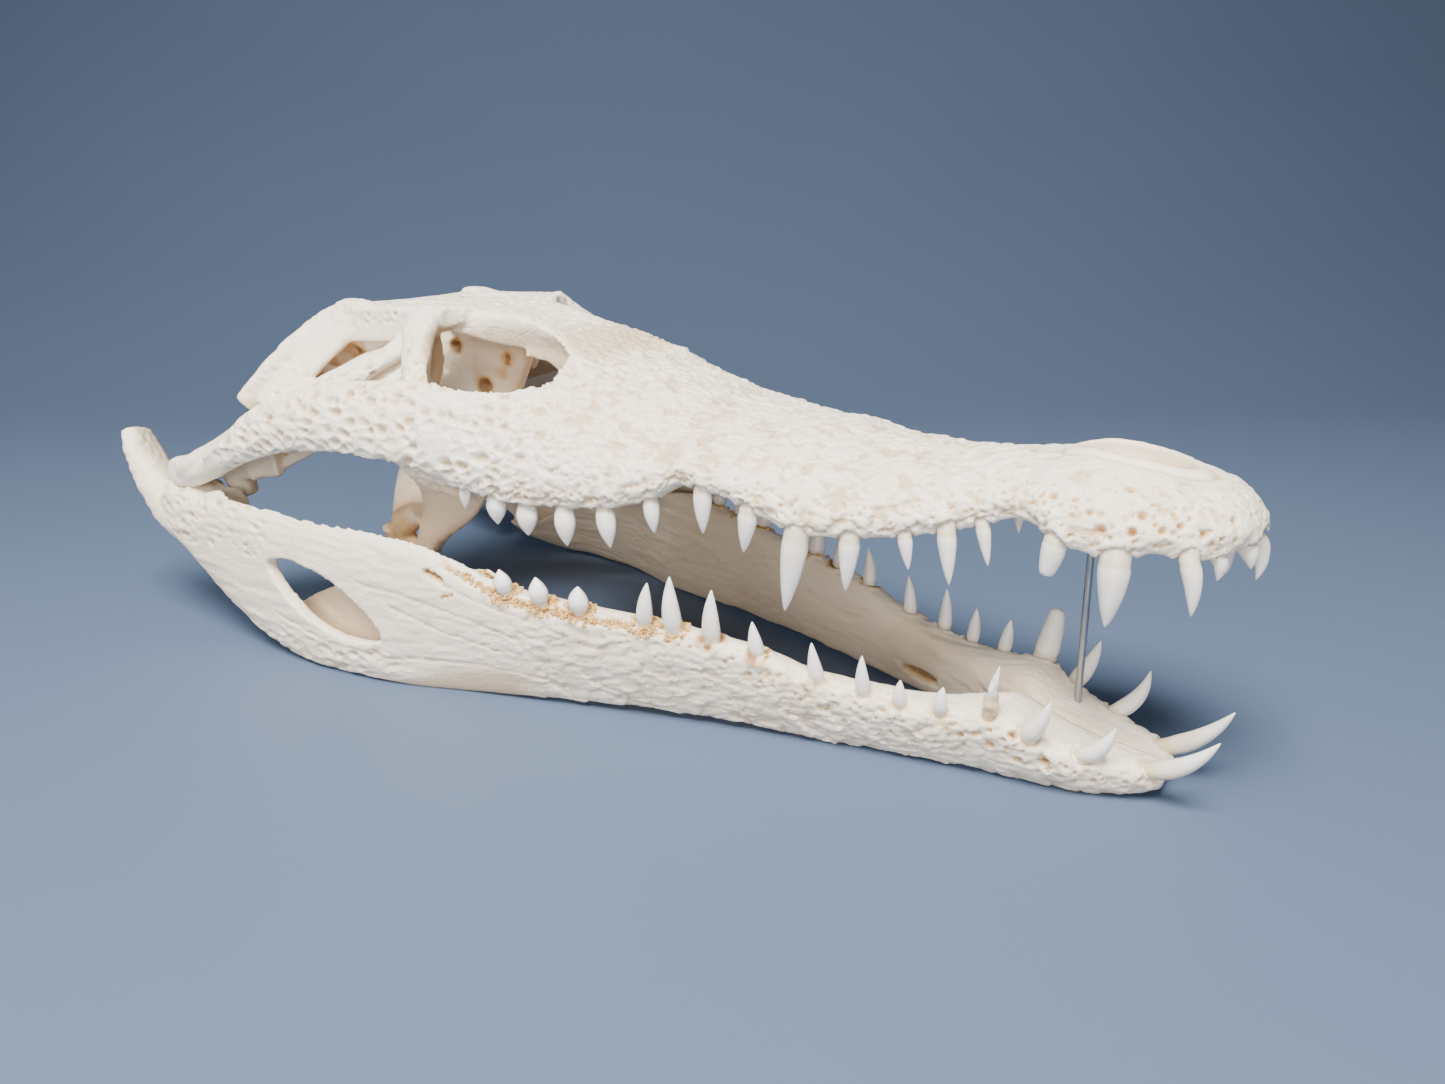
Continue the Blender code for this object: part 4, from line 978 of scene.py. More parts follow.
def carveJaw(s, sign):
    p = s.points
    up = s.normal[:, 2]
    outer = ramp(s.out, 0.0, 0.4)
    g = grooves
    # Depth under the outer wall tells the hollow's inside from the outside
    depth = np.maximum(jawHalfWidthTop(s.x), jawHalfWidthBase(s.x)) - np.abs(s.y)
    inside = ramp(depth, 4.5, 8) * outer * (1 - ramp(s.x, 0, 20)) * (1 - ramp(s.z - jawTop(s.x), -8, -2))
    outer = outer * (1 - inside)
    # Long fine grooves in the run of the bone, and long overlapped plates
    grain = noise(warped(p, 1.6, 14, 211) / (g["long"], g["across"], g["across"]), 221)
    coarse = noise(warped(p, 3.0, 20, 231) / (46.0, 4.6, 4.6), 241)
    run = ramp(np.abs(s.out) + 0.4 * np.abs(up), 0.1, 0.5) * (1 - inside)
    s.height += run * (g["depth"] * (grain - 0.5) + 0.6 * (coarse - 0.5))
    rise, crease = overlapped(warped(p, 3.2, 16, 251), g["plate"], 261)
    plated = outer * band(s.x, 5, 190, 30)
    s.height += plated * (g["tilt"] * rise - g["crease"] * crease)
    # Knobs and pits by the jaw joint and along the lower rear edge
    rear = band(s.x, -205, -122, 12) * ramp(s.z, 42, 50)
    lowEdge = band(s.x, -140, -50, 14) * (1 - ramp(s.z, 12, 20))
    knobs = outer * np.maximum(rear, lowEdge)
    near, wall, owner = pitted(warped(p, 2.0, 9, 271) / (8.5, 4.6, 4.2), 281)
    bowl = (0.2 + owner) * (1 - ramp(near, 0.05, 0.5))
    s.height += knobs * (0.5 * (1 - ramp(wall, 0, 0.4)) - 1.9 * bowl)
    # Lumps of the front, round the sockets
    front = outer * ramp(s.x, 80, 130)
    rise, crease = overlapped(warped(p, 2.2, 9, 291), (8.0, 3.6, 3.6), 301)
    s.height += front * (0.55 * rise - 0.35 * crease + 0.7 * roughNoise(p / 6, 3, 311))
    s.height += 0.14 * roughNoise(p / 1.8, 2, 321)
    for line in sutures:
        s.crease(line, 0.55, 0.7, outer)
    # Stained shelf beside the rear teeth
    shelf = jawTop(s.x) - s.z
    middle = 2.6 - 1.2 * (noise(p / 4.0, 331) - 0.5)
    line = band(s.x, -22, 72, 6) * np.exp(-((shelf - middle) / 1.7) ** 2) * ramp(s.out, -0.2, 0.2)
    s.height -= 0.9 * line
    s.darken(line * (0.4 + 0.5 * ramp(noise(p / 2.4, 341), 0.3, 0.75)))
    s.height += line * 0.5 * (noise(p / 1.1, 342) - 0.5)
    # Slot low on the inner face, and on the right a slit with a dark fleck below it
    for step in np.linspace(0, 1, 9):
        x = 135 + 17 * step
        s.hole((x, sign * (jawInner(x) + 1), 11.5), 1.2 + 1.6 * math.sin(math.pi * step), 2.4, 0.85)
    if sign < 0:
        for step in np.linspace(0, 1, 7):
            s.hole((-27.6 + 6.9 * step, -89.3 + 1.8 * step, 56.2 - 2.6 * step), 1.3, 2.4, 1.0)
        for step in np.linspace(0, 1, 4):
            s.hole((-20.5 + 5 * step, -87.2, 45.9 + 1.4 * step), 1.1, 0.5, 1.0)
    # Painted shade in tan on the inner faces and inside the muscle hollow
    s.tan = np.maximum(0.6 * ramp(-s.out, 0.0, 0.5), inside)


# Lines where the bones of the lower jaw meet, in x and z
sutures = (
    ((-28, 54.5), (-7, 47), (14, 41), (34, 36)),
    ((-62, 47), (-40, 44.5), (-13, 38), (12, 31)),
    ((-46, 38), (-24, 30), (2, 24)),
    ((-118, 22), (-88, 15), (-52, 13), (-14, 16), (20, 13)),
)

sockets = dict(rim=0.7, rimWidth=1.3)


def carveSocket(s, base, radius, rim, stain, seed):
    # a lip round a tooth, and a groove where the tooth goes in
    some, away = s.within(np.array(base), radius + 8)
    if len(some) == 0:
        return
    ring = np.exp(-((away - radius - 1.6) / sockets["rimWidth"]) ** 2)
    groove = np.exp(-((away - radius - 0.2) / 0.55) ** 2)
    broken = 0.5 + noise(s.points[some] / 1.6, seed)
    s.height[some] += rim * sockets["rim"] * ring * broken - 0.8 * groove
    spread = 1 - ramp(away - radius, 0.4, 4.5)
    patchy = ramp(noise(s.points[some] / 2.2, seed + 1) + 0.35 * spread, 0.45, 0.95)
    s.darken(stain * spread * patchy, some)
    s.height[some] += 0.6 * stain * spread * (noise(s.points[some] / 0.9, seed + 2) - 0.5)


# Teeth: each its own smooth crown over a root in the bone

crown = dict(sides=26, rings=24, root=0.28, keel=0.10, flutes=9, neck=0.1, flat=0.9)


def toothSpots(rows, upper):
    # base, tip, radius, leaf, bow and age of each tooth, right and left
    spots = []
    for k, (x, row, right, left, lean, radius, leaf) in enumerate(rows):
        for sign, length in ((-1, right), (1, left)):
            worn = not upper and k == shard["order"] and sign < 0
            if upper:
                z = upperMargin(x) + 1.0
                base, tip = (x, sign * row, z), (x + lean, sign * (row + 0.5), z - length)
                bow = 0.13 if x > 255 else 0.06 if x > 240 else 0.02
            else:
                z = jawTop(x) - 1.5
                drop = math.sqrt(max(1.0, (length + 1.5) ** 2 - lean ** 2))
                base, tip = (x, sign * row, z), (x + lean, sign * (row + 1.5), z + drop)
                bow = 0.13 if x > 215 else 0.05 if x > 200 else 0.0
            blunt = upper and k == 4 or (upper and k == 3 and sign > 0) or (not upper and k == 3 and sign > 0)
            spots.append(dict(
                order=k, sign=sign, base=base, tip=tip, radius=radius * (shard["thin"] if worn else 1),
                leaf=leaf, bow=bow, blunt=blunt, ragged=worn, age=1.0 if worn else 0.5 if k == 0 else 0.15,
            ))
    return spots


coneWidth = along(
    (-0.6, 0.8), (0, 0.98), (0.2, 0.95), (0.45, 0.78), (0.7, 0.53), (0.85, 0.33), (0.95, 0.16), (1.0, 0.04),
)
leafWidth = along(
    (-0.6, 0.66), (0, 0.76), (0.2, 0.94), (0.42, 1.06), (0.65, 0.86), (0.83, 0.5), (0.94, 0.22), (1.0, 0.04),
)
bluntWidth = along(
    (-0.6, 0.8), (0, 0.98), (0.3, 0.92), (0.6, 0.78), (0.85, 0.62), (0.95, 0.5), (0.99, 0.3), (1.0, 0.05),
)


def toothPoints(spot, seed):
    base, tip = np.array(spot["base"]), np.array(spot["tip"])
    axis = tip - base
    length = np.linalg.norm(axis)
    ahead = axis / length
    side = np.cross(ahead, (0, 1, 0))
    side /= np.linalg.norm(side)
    other = np.cross(ahead, side)
    outward = np.array([0, math.copysign(1, base[1]), 0])
    forward = np.array([1, 0, 0]) - ahead * ahead[0]
    bend = spot["bow"] * length * forward + 0.04 * length * outward
    root = -max(crown["root"], rootDepth / length)
    turn = np.linspace(0, 2 * np.pi, crown["sides"], endpoint=False)
    keel = 1 + crown["keel"] * np.abs(np.cos(turn)) ** 10 - 0.03
    points, share, around = [], [], []
    cone = bluntWidth if spot["blunt"] else coneWidth
    for t in np.concatenate([[root, root * 0.5], np.linspace(0, 1, crown["rings"])]):
        r = spot["radius"] * float(cone(t) * (1 - spot["leaf"]) + leafWidth(t) * spot["leaf"])
        r *= 1 - 0.05 * float(1 - ramp(t, crown["neck"], crown["neck"] + 0.06))
        centre = base + axis * t + bend * 4 * t * (1 - t) * (t > 0)
        centre = centre - rootInward * outward * min(1, max(0, -t / crown["root"]))
        flutes = 1 + 0.012 * np.sin(crown["flutes"] * turn + seed) * (1 - t)
        ring = r * keel ** min(1, max(0, 2 * t)) * flutes
        if spot["ragged"] and t > 0:
            torn = np.stack([np.cos(turn) * 1.3 + 5, np.sin(turn) * 1.3, 0 * turn + 9 * t], 1)
            ring = ring * (0.55 + 0.9 * noise(torn, 11)) * (1.15 if t < 0.25 else 1.0)
        section = np.cos(turn)[:, None] * side + crown["flat"] * np.sin(turn)[:, None] * other
        points.append(centre + ring[:, None] * section)
        share.append(np.full(len(turn), t))
        around.append(turn)
    return points, np.concatenate(share), np.concatenate(around)


def makeTeeth(name, spots, finish):
    points, faces, share, around, age = [], [], [], [], []
    for seed, spot in enumerate(spots):
        rings, t, a = toothPoints(spot, seed)
        faces += tubeFaces(len(rings), crown["sides"], sum(len(p) for p in points))
        points.append(settled(np.concatenate(rings)))
        points.append(settled(np.array([rings[0].mean(0), rings[-1].mean(0)])))
        share += [t, [t[0], t[-1]]]
        around += [a, [0, 0]]
        age.append(np.full(len(t) + 2, spot["age"]))
    obj = meshFrom(name, np.clip(np.concatenate(points), *np.array(cadBox) / metre), faces)
    for label, parts in (("share", share), ("around", around), ("age", age)):
        store(obj.data, label, np.concatenate(parts))
    obj.data.materials.append(finish)
    return obj


# Materials and geometry nodes

class Field:
    # a node's output that Python's operators turn into Math nodes
    def __init__(self, tree, socket):
        self.tree, self.socket = tree, socket

    def math(self, operation, other, turned=False):
        values = (other, self) if turned else (self, other)
        return self.tree.add("ShaderNodeMath", dict(operation=operation), dict(enumerate(values)))

    def __add__(self, other): return self.math("ADD", other)
    def __radd__(self, other): return self.math("ADD", other, True)
    def __sub__(self, other): return self.math("SUBTRACT", other)
    def __rsub__(self, other): return self.math("SUBTRACT", other, True)
    def __mul__(self, other): return self.math("MULTIPLY", other)
    def __rmul__(self, other): return self.math("MULTIPLY", other, True)


class Tree:
    # nodes that all come from one method: kind, settings, then values or links of the sockets
    def __init__(self, tree):
        self.nodes, self.links = tree.nodes, tree.links

    def add(self, kind, settings=None, inputs=None, out=0):
        node = self.nodes.new(kind)
        for key, value in (settings or {}).items():
            setattr(node, key, value)
        for key, value in (inputs or {}).items():
            if isinstance(value, Field):
                self.links.new(value.socket, node.inputs[key])
            else:
                node.inputs[key].default_value = value
        return Field(self, node.outputs[out])


class Finish(Tree):
    def __init__(self, name, **fixed):
        self.material = bpy.data.materials.new(name)
        self.material.use_nodes = True
        super().__init__(self.material.node_tree)
        self.shader = self.nodes["Principled BSDF"]
        for socket, value in fixed.items():
            self.shader.inputs[socket.replace("_", " ")].default_value = value
        self.here = self.place((1, 1, 1))

    def ramp(self, value, low, high):
        settings = dict(interpolation_type="SMOOTHSTEP")
        return self.add("ShaderNodeMapRange", settings, {0: value, 1: low, 2: high})

    def mix(self, factor, first, second):
        first, second = (v if isinstance(v, Field) else (*v, 1) for v in (first, second))
        settings = dict(data_type="RGBA", clamp_factor=True)
        return self.add("ShaderNodeMix", settings, {0: factor, 6: first, 7: second}, 2)

    def layer(self, name):
        return self.add("ShaderNodeAttribute", dict(attribute_name=name), out=2)

    def place(self, scale):
        spot = self.add("ShaderNodeTexCoord", out=3)
        return self.add("ShaderNodeMapping", {}, {0: spot, 3: scale})

    def noise(self, where, scale, detail=3.0, rough=0.55):
        return self.add("ShaderNodeTexNoise", {}, {0: where, 2: scale, 3: detail, 4: rough})

    def cells(self, where, scale, feature="F1"):
        return self.add("ShaderNodeTexVoronoi", dict(feature=feature), {0: where, 2: scale})

    def finished(self, colour, rough, relief=None, strength=0.0, distance=0.0):
        made = {"Base Color": colour, "Roughness": rough}
        if relief is not None:
            bump = {"Strength": strength, "Distance": distance, "Height": relief}
            made["Normal"] = self.add("ShaderNodeBump", {}, bump)
        for socket, value in made.items():
            self.links.new(value.socket, self.shader.inputs[socket])
        return self.material


# The peach colour paints shade on inner faces and undersides; the warm colour paints shade in carved hollows
# and colours the cracks; ochre and brown follow the layer of real stain and painted shade, and brown also
# colours random specks
boneColours = dict(
    pale=(0.89, 0.825, 0.72), cream=(0.83, 0.72, 0.56),
    jawPale=(0.89, 0.80, 0.67), jawCream=(0.83, 0.70, 0.52),
    warmShadeAndCrack=(0.60, 0.45, 0.29), shadePeach=(0.60, 0.44, 0.29), brown=(0.20, 0.10, 0.045), ochre=(0.62, 0.38, 0.15),
)


def boneFinish(name, grain, pale, cream):
    c = boneColours
    f = Finish(name, Specular_IOR_Level=0.42)
    broad = f.noise(f.here, 26, 3)
    patchy = f.noise(f.here, 95, 4, 0.6)
    fine = f.noise(f.here, 620, 4, 0.65)
    fibre = f.noise(f.place(grain), 900, 3, 0.6)
    hollow, stain, tan = f.layer("hollow"), f.layer("stain"), f.layer("tan")
    cracks = 1 - f.ramp(f.cells(f.place((0.5, 1, 1)), 85, "DISTANCE_TO_EDGE"), 0.0, 0.018)
    specks = 1 - f.ramp(f.cells(f.here, 230), 0.05, 0.1)
    colour = c[pale]
    # Mixed over the pale bone: random cream tone and grain, painted shade in peach and warm, cracks, specks,
    # then real stain and painted shade in ochre and brown
    for share, over in (
            (f.ramp(broad, 0.42, 0.68) * 0.6, cream), (f.ramp(patchy, 0.5, 0.78) * 0.35, cream),
            (f.ramp(fibre, 0.55, 0.8) * 0.22, cream), (tan * 0.85, "shadePeach"),
            (f.ramp(hollow, 0.1, 1.0) * 0.85, "warmShadeAndCrack"), (cracks * f.ramp(broad, 0.48, 0.6) * 0.4, "warmShadeAndCrack"),
            (specks * f.ramp(patchy, 0.52, 0.6) * 0.75, "brown"),
            (f.ramp(stain + 0.3 * (fine - 0.5), 0.12, 0.7) * 0.8, "ochre"),
            (f.ramp(stain, 0.62, 0.95) * 0.85, "brown")):
        colour = f.mix(share, colour, c[over])
    relief = fine * 0.6 + fibre * 0.5 + f.ramp(f.cells(f.here, 700), 0.0, 0.35) * 0.35 - cracks * 0.3
    return f.finished(colour, 0.46 + 0.2 * (patchy - 0.5) + 0.12 * hollow, relief, 0.5, 0.0007)


toothColours = dict(
    neck=(0.74, 0.66, 0.54), tip=(0.86, 0.84, 0.81), mottle=(0.80, 0.76, 0.68), line=(0.62, 0.50, 0.34),
    old=(0.62, 0.44, 0.20),
)


def toothFinish():
    c = toothColours
    f = Finish("toothEnamel", Specular_IOR_Level=0.55, Coat_Weight=0.25, Coat_Roughness=0.12)
    share, around, age = f.layer("share"), f.layer("around"), f.layer("age")
    mottled = f.noise(f.here, 160, 3)
    where = f.add("ShaderNodeCombineXYZ", {}, {0: around * 3.0, 1: share * 0.8})
    lines = f.add("ShaderNodeTexNoise", dict(noise_dimensions="2D"), {0: where, 2: 4.0, 3: 3.0})
    lower = 1 - f.ramp(share, 0.1, 0.75)
    colour = f.mix(f.ramp(share, 0.07, 0.17), c["neck"], c["tip"])
    colour = f.mix(f.ramp(mottled, 0.5, 0.75) * 0.3, colour, c["mottle"])
    colour = f.mix(lower * f.ramp(lines, 0.55, 0.7) * 0.3, colour, c["line"])
    colour = f.mix(age * f.ramp(mottled + 0.4 * lower, 0.45, 0.9) * 0.8, colour, c["old"])
    return f.finished(colour, 0.24 + 0.18 * mottled, lines, 0.3, 0.0004)


crustColours = dict(dark=(0.46, 0.25, 0.07), light=(0.66, 0.44, 0.19), spot=(0.24, 0.11, 0.035))
rodColours = dict(dark=(0.30, 0.32, 0.34), light=(0.46, 0.48, 0.50))
floorColours = dict(dark=(0.09, 0.127, 0.205), light=(0.098, 0.136, 0.217))


def crustFinish():
    c = crustColours
    f = Finish("ochreCrust", Specular_IOR_Level=0.3)
    mottled = f.noise(f.here, 420, 3)
    colour = f.mix(f.ramp(mottled, 0.35, 0.6), c["dark"], c["light"])
    colour = f.mix(f.ramp(mottled, 0.62, 0.75) * 0.7, colour, c["spot"])
    return f.finished(colour, 0.6 + 0.2 * mottled)


def rodFinish():
    f = Finish("rodSteel", Metallic=1.0)
    drawn = f.noise(f.place((8, 8, 0.4)), 220, 3)
    colour = f.mix(f.ramp(drawn, 0.3, 0.7), rodColours["dark"], rodColours["light"])
    return f.finished(colour, 0.28 + 0.22 * f.noise(f.here, 300, 4), drawn, 0.2, 0.0002)


def floorFinish():
    f = Finish("paleFloor", Specular_IOR_Level=0.2)
    soft = f.noise(f.here, 3, 2)
    return f.finished(f.mix(soft, floorColours["dark"], floorColours["light"]), 0.42 + 0.1 * soft)


# What follows a path or is strewn over a surface is made by geometry nodes

class Grown(Tree):
    def __init__(self, name, inputs):
        self.group = bpy.data.node_groups.new(name, "GeometryNodeTree")
        super().__init__(self.group)
        self.sockets = {}
        add = self.group.interface.new_socket
        add("Geometry", in_out="INPUT", socket_type="NodeSocketGeometry")
        for label, kind in inputs.items():
            self.sockets[label] = add(label, in_out="INPUT", socket_type="NodeSocket" + kind).identifier
        add("Geometry", in_out="OUTPUT", socket_type="NodeSocketGeometry")
        start = self.nodes.new("NodeGroupInput").outputs
        self.given = {label: Field(self, start[label]) for label in ("Geometry", *inputs)}

    def finished(self, geometry):
        whole = self.add("GeometryNodeRealizeInstances", {}, {0: geometry})
        painted = self.add("GeometryNodeSetMaterial", {}, {0: whole, "Material": self.given["Material"]})
        self.links.new(painted.socket, self.nodes.new("NodeGroupOutput").inputs[0])
        return self

    def grow(self, name, points, edges, values):
        start = bpy.data.meshes.new(name)
        start.from_pydata([tuple(p) for p in points], edges, [])
        piece = linked(name, start)
        grower = piece.modifiers.new("grown", "NODES")
        grower.node_group = self.group
        for label, value in values.items():
            grower[self.sockets[label]] = value
        applyModifiers(piece)
        return piece


def crustTree():
    # grains of dried crust, of mixed size, half sunk in the bone
    g = Grown("crustGrains", dict(Smallest="Float", Largest="Float", Seed="Int", Material="Material"))
    given = g.given
    grain = g.add("GeometryNodeMeshIcoSphere", {}, {"Radius": 1.0, "Subdivisions": 2})
    wander = g.add("ShaderNodeTexNoise", {}, {"Scale": 1.3, "Detail": 1.0}, "Color")
    centred = g.add("ShaderNodeVectorMath", dict(operation="SUBTRACT"), {0: wander, 1: (0.5, 0.5, 0.5)})
    bumpy = g.add("ShaderNodeVectorMath", dict(operation="SCALE"), {0: centred, "Scale": 1.1})
    grain = g.add("GeometryNodeSetPosition", {}, {"Geometry": grain, "Offset": bumpy})
    sizes = {2: given["Smallest"], 3: given["Largest"], "Seed": given["Seed"]}
    turns = {0: (0, 0, 0), 1: (6.28, 6.28, 6.28), "Seed": given["Seed"]}
    strewn = {"Points": given["Geometry"], "Instance": grain}
    strewn["Rotation"] = g.add("FunctionNodeRandomValue", dict(data_type="FLOAT_VECTOR"), turns)
    strewn["Scale"] = g.add("FunctionNodeRandomValue", dict(data_type="FLOAT"), sizes, 1)
    return g.finished(g.add("GeometryNodeInstanceOnPoints", {}, strewn))


def rodTree():
    g = Grown("rodAlongPath", dict(Radius="Float", Taper="Float", Material="Material"))
    path = g.add("GeometryNodeMeshToCurve", {}, {0: g.given["Geometry"]})
    narrowed = 1 - g.add("GeometryNodeSplineParameter") * g.given["Taper"]
    path = g.add("GeometryNodeSetCurveRadius", {}, {0: path, "Radius": narrowed})
    ring = g.add("GeometryNodeCurvePrimitiveCircle", {}, {"Resolution": 40, "Radius": g.given["Radius"]})
    return g.finished(g.add("GeometryNodeCurveToMesh", {}, {0: path, 1: ring, "Fill Caps": True}))


# Crust grains: share of the stained vertices that carry one, least stain, and radii in metres
crust = dict(
    share=0.6, stain=0.3, smallest=0.0003, largest=0.00085, seed=12, shelf=(2.0, 3.6), rear=-26, front=84,
)


def crustSpots(bone, sign):
    # vertices of the stained shelf, drawn by a fixed seed
    s = Surface(bone)
    stain = s.read(bone.data.attributes["stain"].data, "value", 1)[:, 0]
    middle, reach = crust["shelf"]
    near = (s.x > crust["rear"]) & (s.x < crust["front"]) & (np.abs(jawTop(s.x) - s.z - middle) < reach)
    drawn = np.random.default_rng(crust["seed"] + sign).random(len(s.x)) < crust["share"]
    return s.start[near & (stain > crust["stain"]) & drawn] * metre


# Bones

def region(source, name, low, high):
    # the part of a bone that lies between two corners
    piece = linked(name, source.data.copy())
    boolean(piece, [block("region", low, high)], "INTERSECT", "MANIFOLD")
    return piece


def bareBone(name, make, cutters, voxel):
    # the fused skin of some forms, cut by its openings
    bone = joined(name, newObjects(make))
    fuse(bone, voxel, skin["firstSoft"])
    boolean(bone, cutters(), "DIFFERENCE", "MANIFOLD")
    fuse(bone, voxel, skin["lastSoft"])
    print(name, "skin", len(bone.data.polygons))
    return bone


def cranium():
    upperJaw()
    cheekBones()
    skullRoof()
    palateBones()


def craniumCut():
    # the openings overlap, so they are united before they cut
    tools = craniumOpenings()
    boolean(tools[0], tools[1:], "UNION", "MANIFOLD")
    return tools[:1]


def makeCranium(upperSpots):
    skull = bareBone("skull", cranium, craniumCut, skin["voxel"])
    s = Surface(skull)
    carveCranium(s)
    draw = np.random.default_rng(holesAlong["seed"])
    for sign in (-1, 1):
        drawHoles(s, upperHoles, sign, draw)
        drawSnoutEnd(s, sign, draw)
        placeHoles(s, snoutHoles, sign, 0.85)
        placeHoles(s, caseHoles, sign, 0.95)
    for k, spot in enumerate(upperSpots):
        carveSocket(s, spot["base"], spot["radius"] * 0.9, 0.8, 0.35, 400 + 5 * k)
    s.finish()
    return skull


def makeJaw(name, sign, lowerSpots):
    bone = bareBone(
        name, lambda: jawHalf(sign), lambda: jawOpenings(sign) + jointCups(sign), skin["jawVoxel"])
    s = Surface(bone)
    carveJaw(s, sign)
    placeHoles(s, jawHoles, sign, 0.9)
    drawHoles(s, lowerHoles, sign, np.random.default_rng(holesAlong["seed"] + 10 + sign))
    for k, spot in enumerate(lowerSpots):
        rear = spot["order"] >= 8
        carveSocket(s, spot["base"], spot["radius"], 0.9, 0.95 if rear else 0.45, 600 + 5 * k)
    s.finish()
    return bone


def keep(piece, node, finish=None):
    if finish:
        piece.data.materials.clear()
        piece.data.materials.append(finish)
    piece.data.shade_smooth()
    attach(piece, "root")
    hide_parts(node)


upperSpots = toothSpots(upperTeeth, True)
lowerSpots = toothSpots(lowerTeeth, False)
skullFinish = boneFinish("skullBone", (0.5, 1, 1), "pale", "cream")
jawFinish = boneFinish("mandibleBone", (0.12, 1, 1), "jawPale", "jawCream")
enamel = toothFinish()
crustLook = crustFinish()
crustGrains = crustTree()

skull = makeCranium(upperSpots)
far = 400  # past every bone
middleGap = 0.02  # from the middle plane to each half of the lower jaw
splits = dict(snoutMiddle=105, snoutFront=190)
regions = (
    ("premaxilla", "snout", (splits["snoutFront"], -far, 0), (far, far, far)),
    ("maxillaFront", "snout", (splits["snoutMiddle"], -far, 0), (splits["snoutFront"], far, far)),
    ("maxillaRear", "snout", (cheekCut, -far, 0), (splits["snoutMiddle"], far, far)),
    ("skullTable", "skull_roof", (-far, -sideCut, palateCut), (cheekCut, sideCut, far)),
    ("pterygoidBone", "pterygoid", (-far, -sideCut, 0), (cheekCut, sideCut, palateCut)),
    ("cheekRightBone", "cheek_right", (-far, -far, 0), (cheekCut, -sideCut, far)),
    ("cheekLeftBone", "cheek_left", (-far, sideCut, 0), (cheekCut, far, far)),
)
for name, node, low, high in regions:
    piece = region(skull, name, low, high)
    keep(piece, node, skullFinish)
    print(name, sum(len(p.vertices) - 2 for p in piece.data.polygons))
remove([skull])
print("cranium parted")

for name, sign, node in (("jawRightBone", -1, "jaw_right"), ("jawLeftBone", 1, "jaw_left")):
    ownSpots = [spot for spot in lowerSpots if spot["sign"] == sign]
    bone = makeJaw(name, sign, ownSpots)
    low, high = sorted((middleGap * sign, far * sign))
    half = region(bone, name, (-far, low, 0), (far, high, far))
    remove([bone])
    half.name = name
    keep(half, node, jawFinish)
    spots = crustSpots(half, sign)
    grains = crustGrains.grow(name.replace("Bone", "Crust"), spots, [], {
        "Smallest": crust["smallest"], "Largest": crust["largest"], "Seed": 3 + sign, "Material": crustLook})
    print(grains.name, len(spots))
    keep(grains, node)
    keep(makeTeeth(name.replace("Bone", "Teeth"), ownSpots, enamel), node)
for name, node, rear, front, signs in (
        ("snoutTeeth", "snout", cheekCut, far, (-1, 1)),
        ("cheekRightTeeth", "cheek_right", -far, cheekCut, (-1,)),
        ("cheekLeftTeeth", "cheek_left", -far, cheekCut, (1,))):
    some = [spot for spot in upperSpots if rear < spot["base"][0] < front and spot["sign"] in signs]
    keep(makeTeeth(name, some, enamel), node)
print("teeth set")

rod = dict(steps=24, taper=0.1)


def makeRod():
    foot, head = settled(np.array([rodFoot, rodHead], float)) * metre
    path = [foot + (head - foot) * t for t in np.linspace(0, 1, rod["steps"])]
    edges = [(k, k + 1) for k in range(rod["steps"] - 1)]
    return rodTree().grow("rodBar", path, edges, {
        "Radius": rodRadius * metre, "Taper": rod["taper"], "Material": rodFinish()})


keep(makeRod(), "prop_rod")
print("rod set")

# Stage, light and camera

stageSizes = dict(near=2.5, far=0.55, curve=1.3, wall=3.4, wide=5.0, heading=124.6)


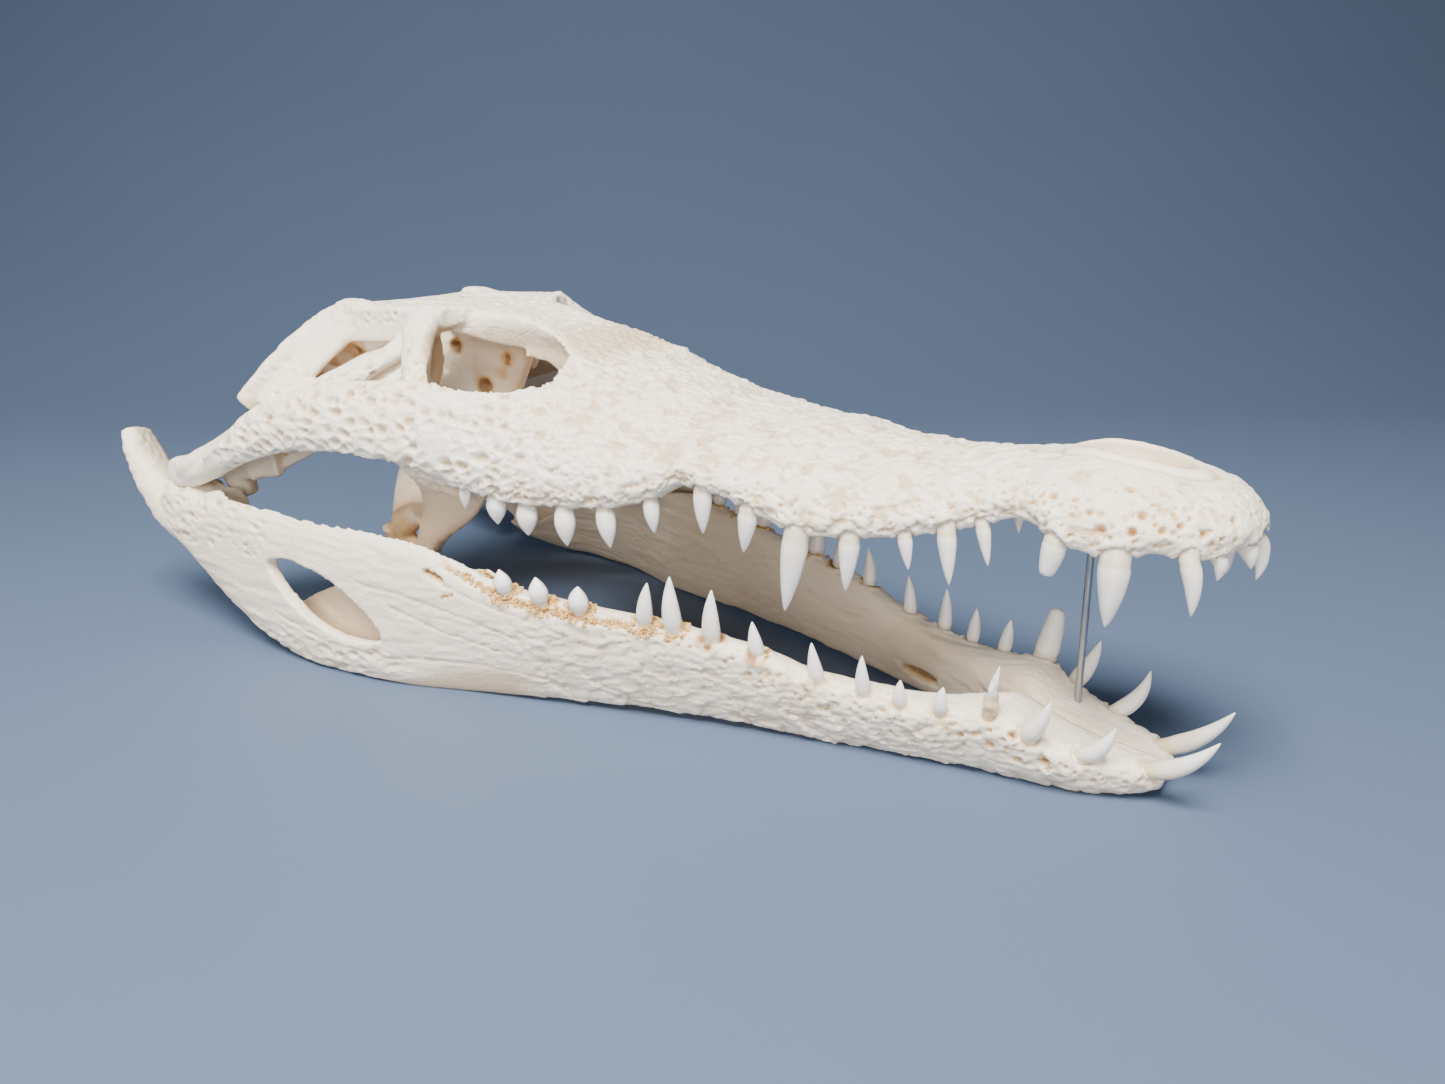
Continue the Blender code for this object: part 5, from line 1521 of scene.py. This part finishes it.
def makeFloor():
    # a floor that curves up into a backdrop, square to the camera
    z = stageSizes
    aim = math.radians(z["heading"])
    ahead, across = np.array([math.cos(aim), math.sin(aim)]), np.array([-math.sin(aim), math.cos(aim)])
    profile = [(-z["near"], 0.0), (z["far"], 0.0)]
    for turn in np.linspace(0, math.pi / 2, 32)[1:]:
        profile.append((z["far"] + z["curve"] * math.sin(turn), z["curve"] * (1 - math.cos(turn))))
    profile.append((z["far"] + z["curve"], z["wall"]))
    points, faces = [], []
    for k, (away, up) in enumerate(profile):
        points += [(*(ahead * away + across * side * z["wide"]), up) for side in (-1, 1)]
        if k:
            faces.append((2 * k - 2, 2 * k, 2 * k + 1, 2 * k - 1))
    mesh = bpy.data.meshes.new("floor")
    mesh.from_pydata(points, [], faces)
    mesh.shade_smooth()
    floor = linked("floor", mesh)
    mesh.materials.append(floorFinish())


# Place, aim, width in metres, power in watts and colour
lights = dict(
    key=((0.3, -0.7, 1.35), (0, 0, 0.06), 0.7, 74, (1.0, 0.96, 0.895)),
    front=((0.9, -1.7, 0.6), (0.1, 0, 0.06), 1.0, 30, (1.0, 0.97, 0.925)),
    side=((-1.5, -1.2, 0.6), (-0.1, 0, 0.06), 0.8, 9, (1.0, 0.97, 0.925)),
)
skyLight = dict(colour=(0.85, 0.88, 0.95), strength=0.07)

makeFloor()
for name, (spot, target, size, power, colour) in lights.items():
    data = bpy.data.lights.new(name, "AREA")
    data.size, data.energy, data.color = size, power, colour
    lamp = linked(name, data)
    lamp.location = spot
    aim = mathutils.Vector(spot) - mathutils.Vector(target)
    lamp.rotation_euler = aim.to_track_quat("Z", "Y").to_euler()
sky = bpy.data.worlds.new("studio")
bpy.context.scene.world = sky
sky.use_nodes = True
sky.node_tree.nodes["Background"].inputs["Color"].default_value = (*skyLight["colour"], 1)
sky.node_tree.nodes["Background"].inputs["Strength"].default_value = skyLight["strength"]

# The photo's view: place in mm, focal length and width in pixels, and turns in degrees
view = dict(
    spot=(312.37, -365.83, 207.78), focal=1085.0, width=1445, bearing=-55.3746, rise=18.22, roll=0.037,
)


def turned(degrees, axis):
    return mathutils.Matrix.Rotation(math.radians(degrees), 4, axis)


data = bpy.data.cameras.new("photoView")
data.sensor_width = 36
data.lens = 36 * view["focal"] / view["width"]
data.clip_start = 0.01
camera = linked("photoView", data)
placed = turned(math.degrees(restTilt), "Y") @ turned(view["bearing"] + 90, "Z")
placed = placed @ turned(90 - view["rise"], "X") @ turned(view["roll"], "Z")
placed.translation = (settled(np.array([view["spot"]]))[0] * metre).tolist()
camera.matrix_world = placed
bpy.context.scene.camera = camera
print("stage set")
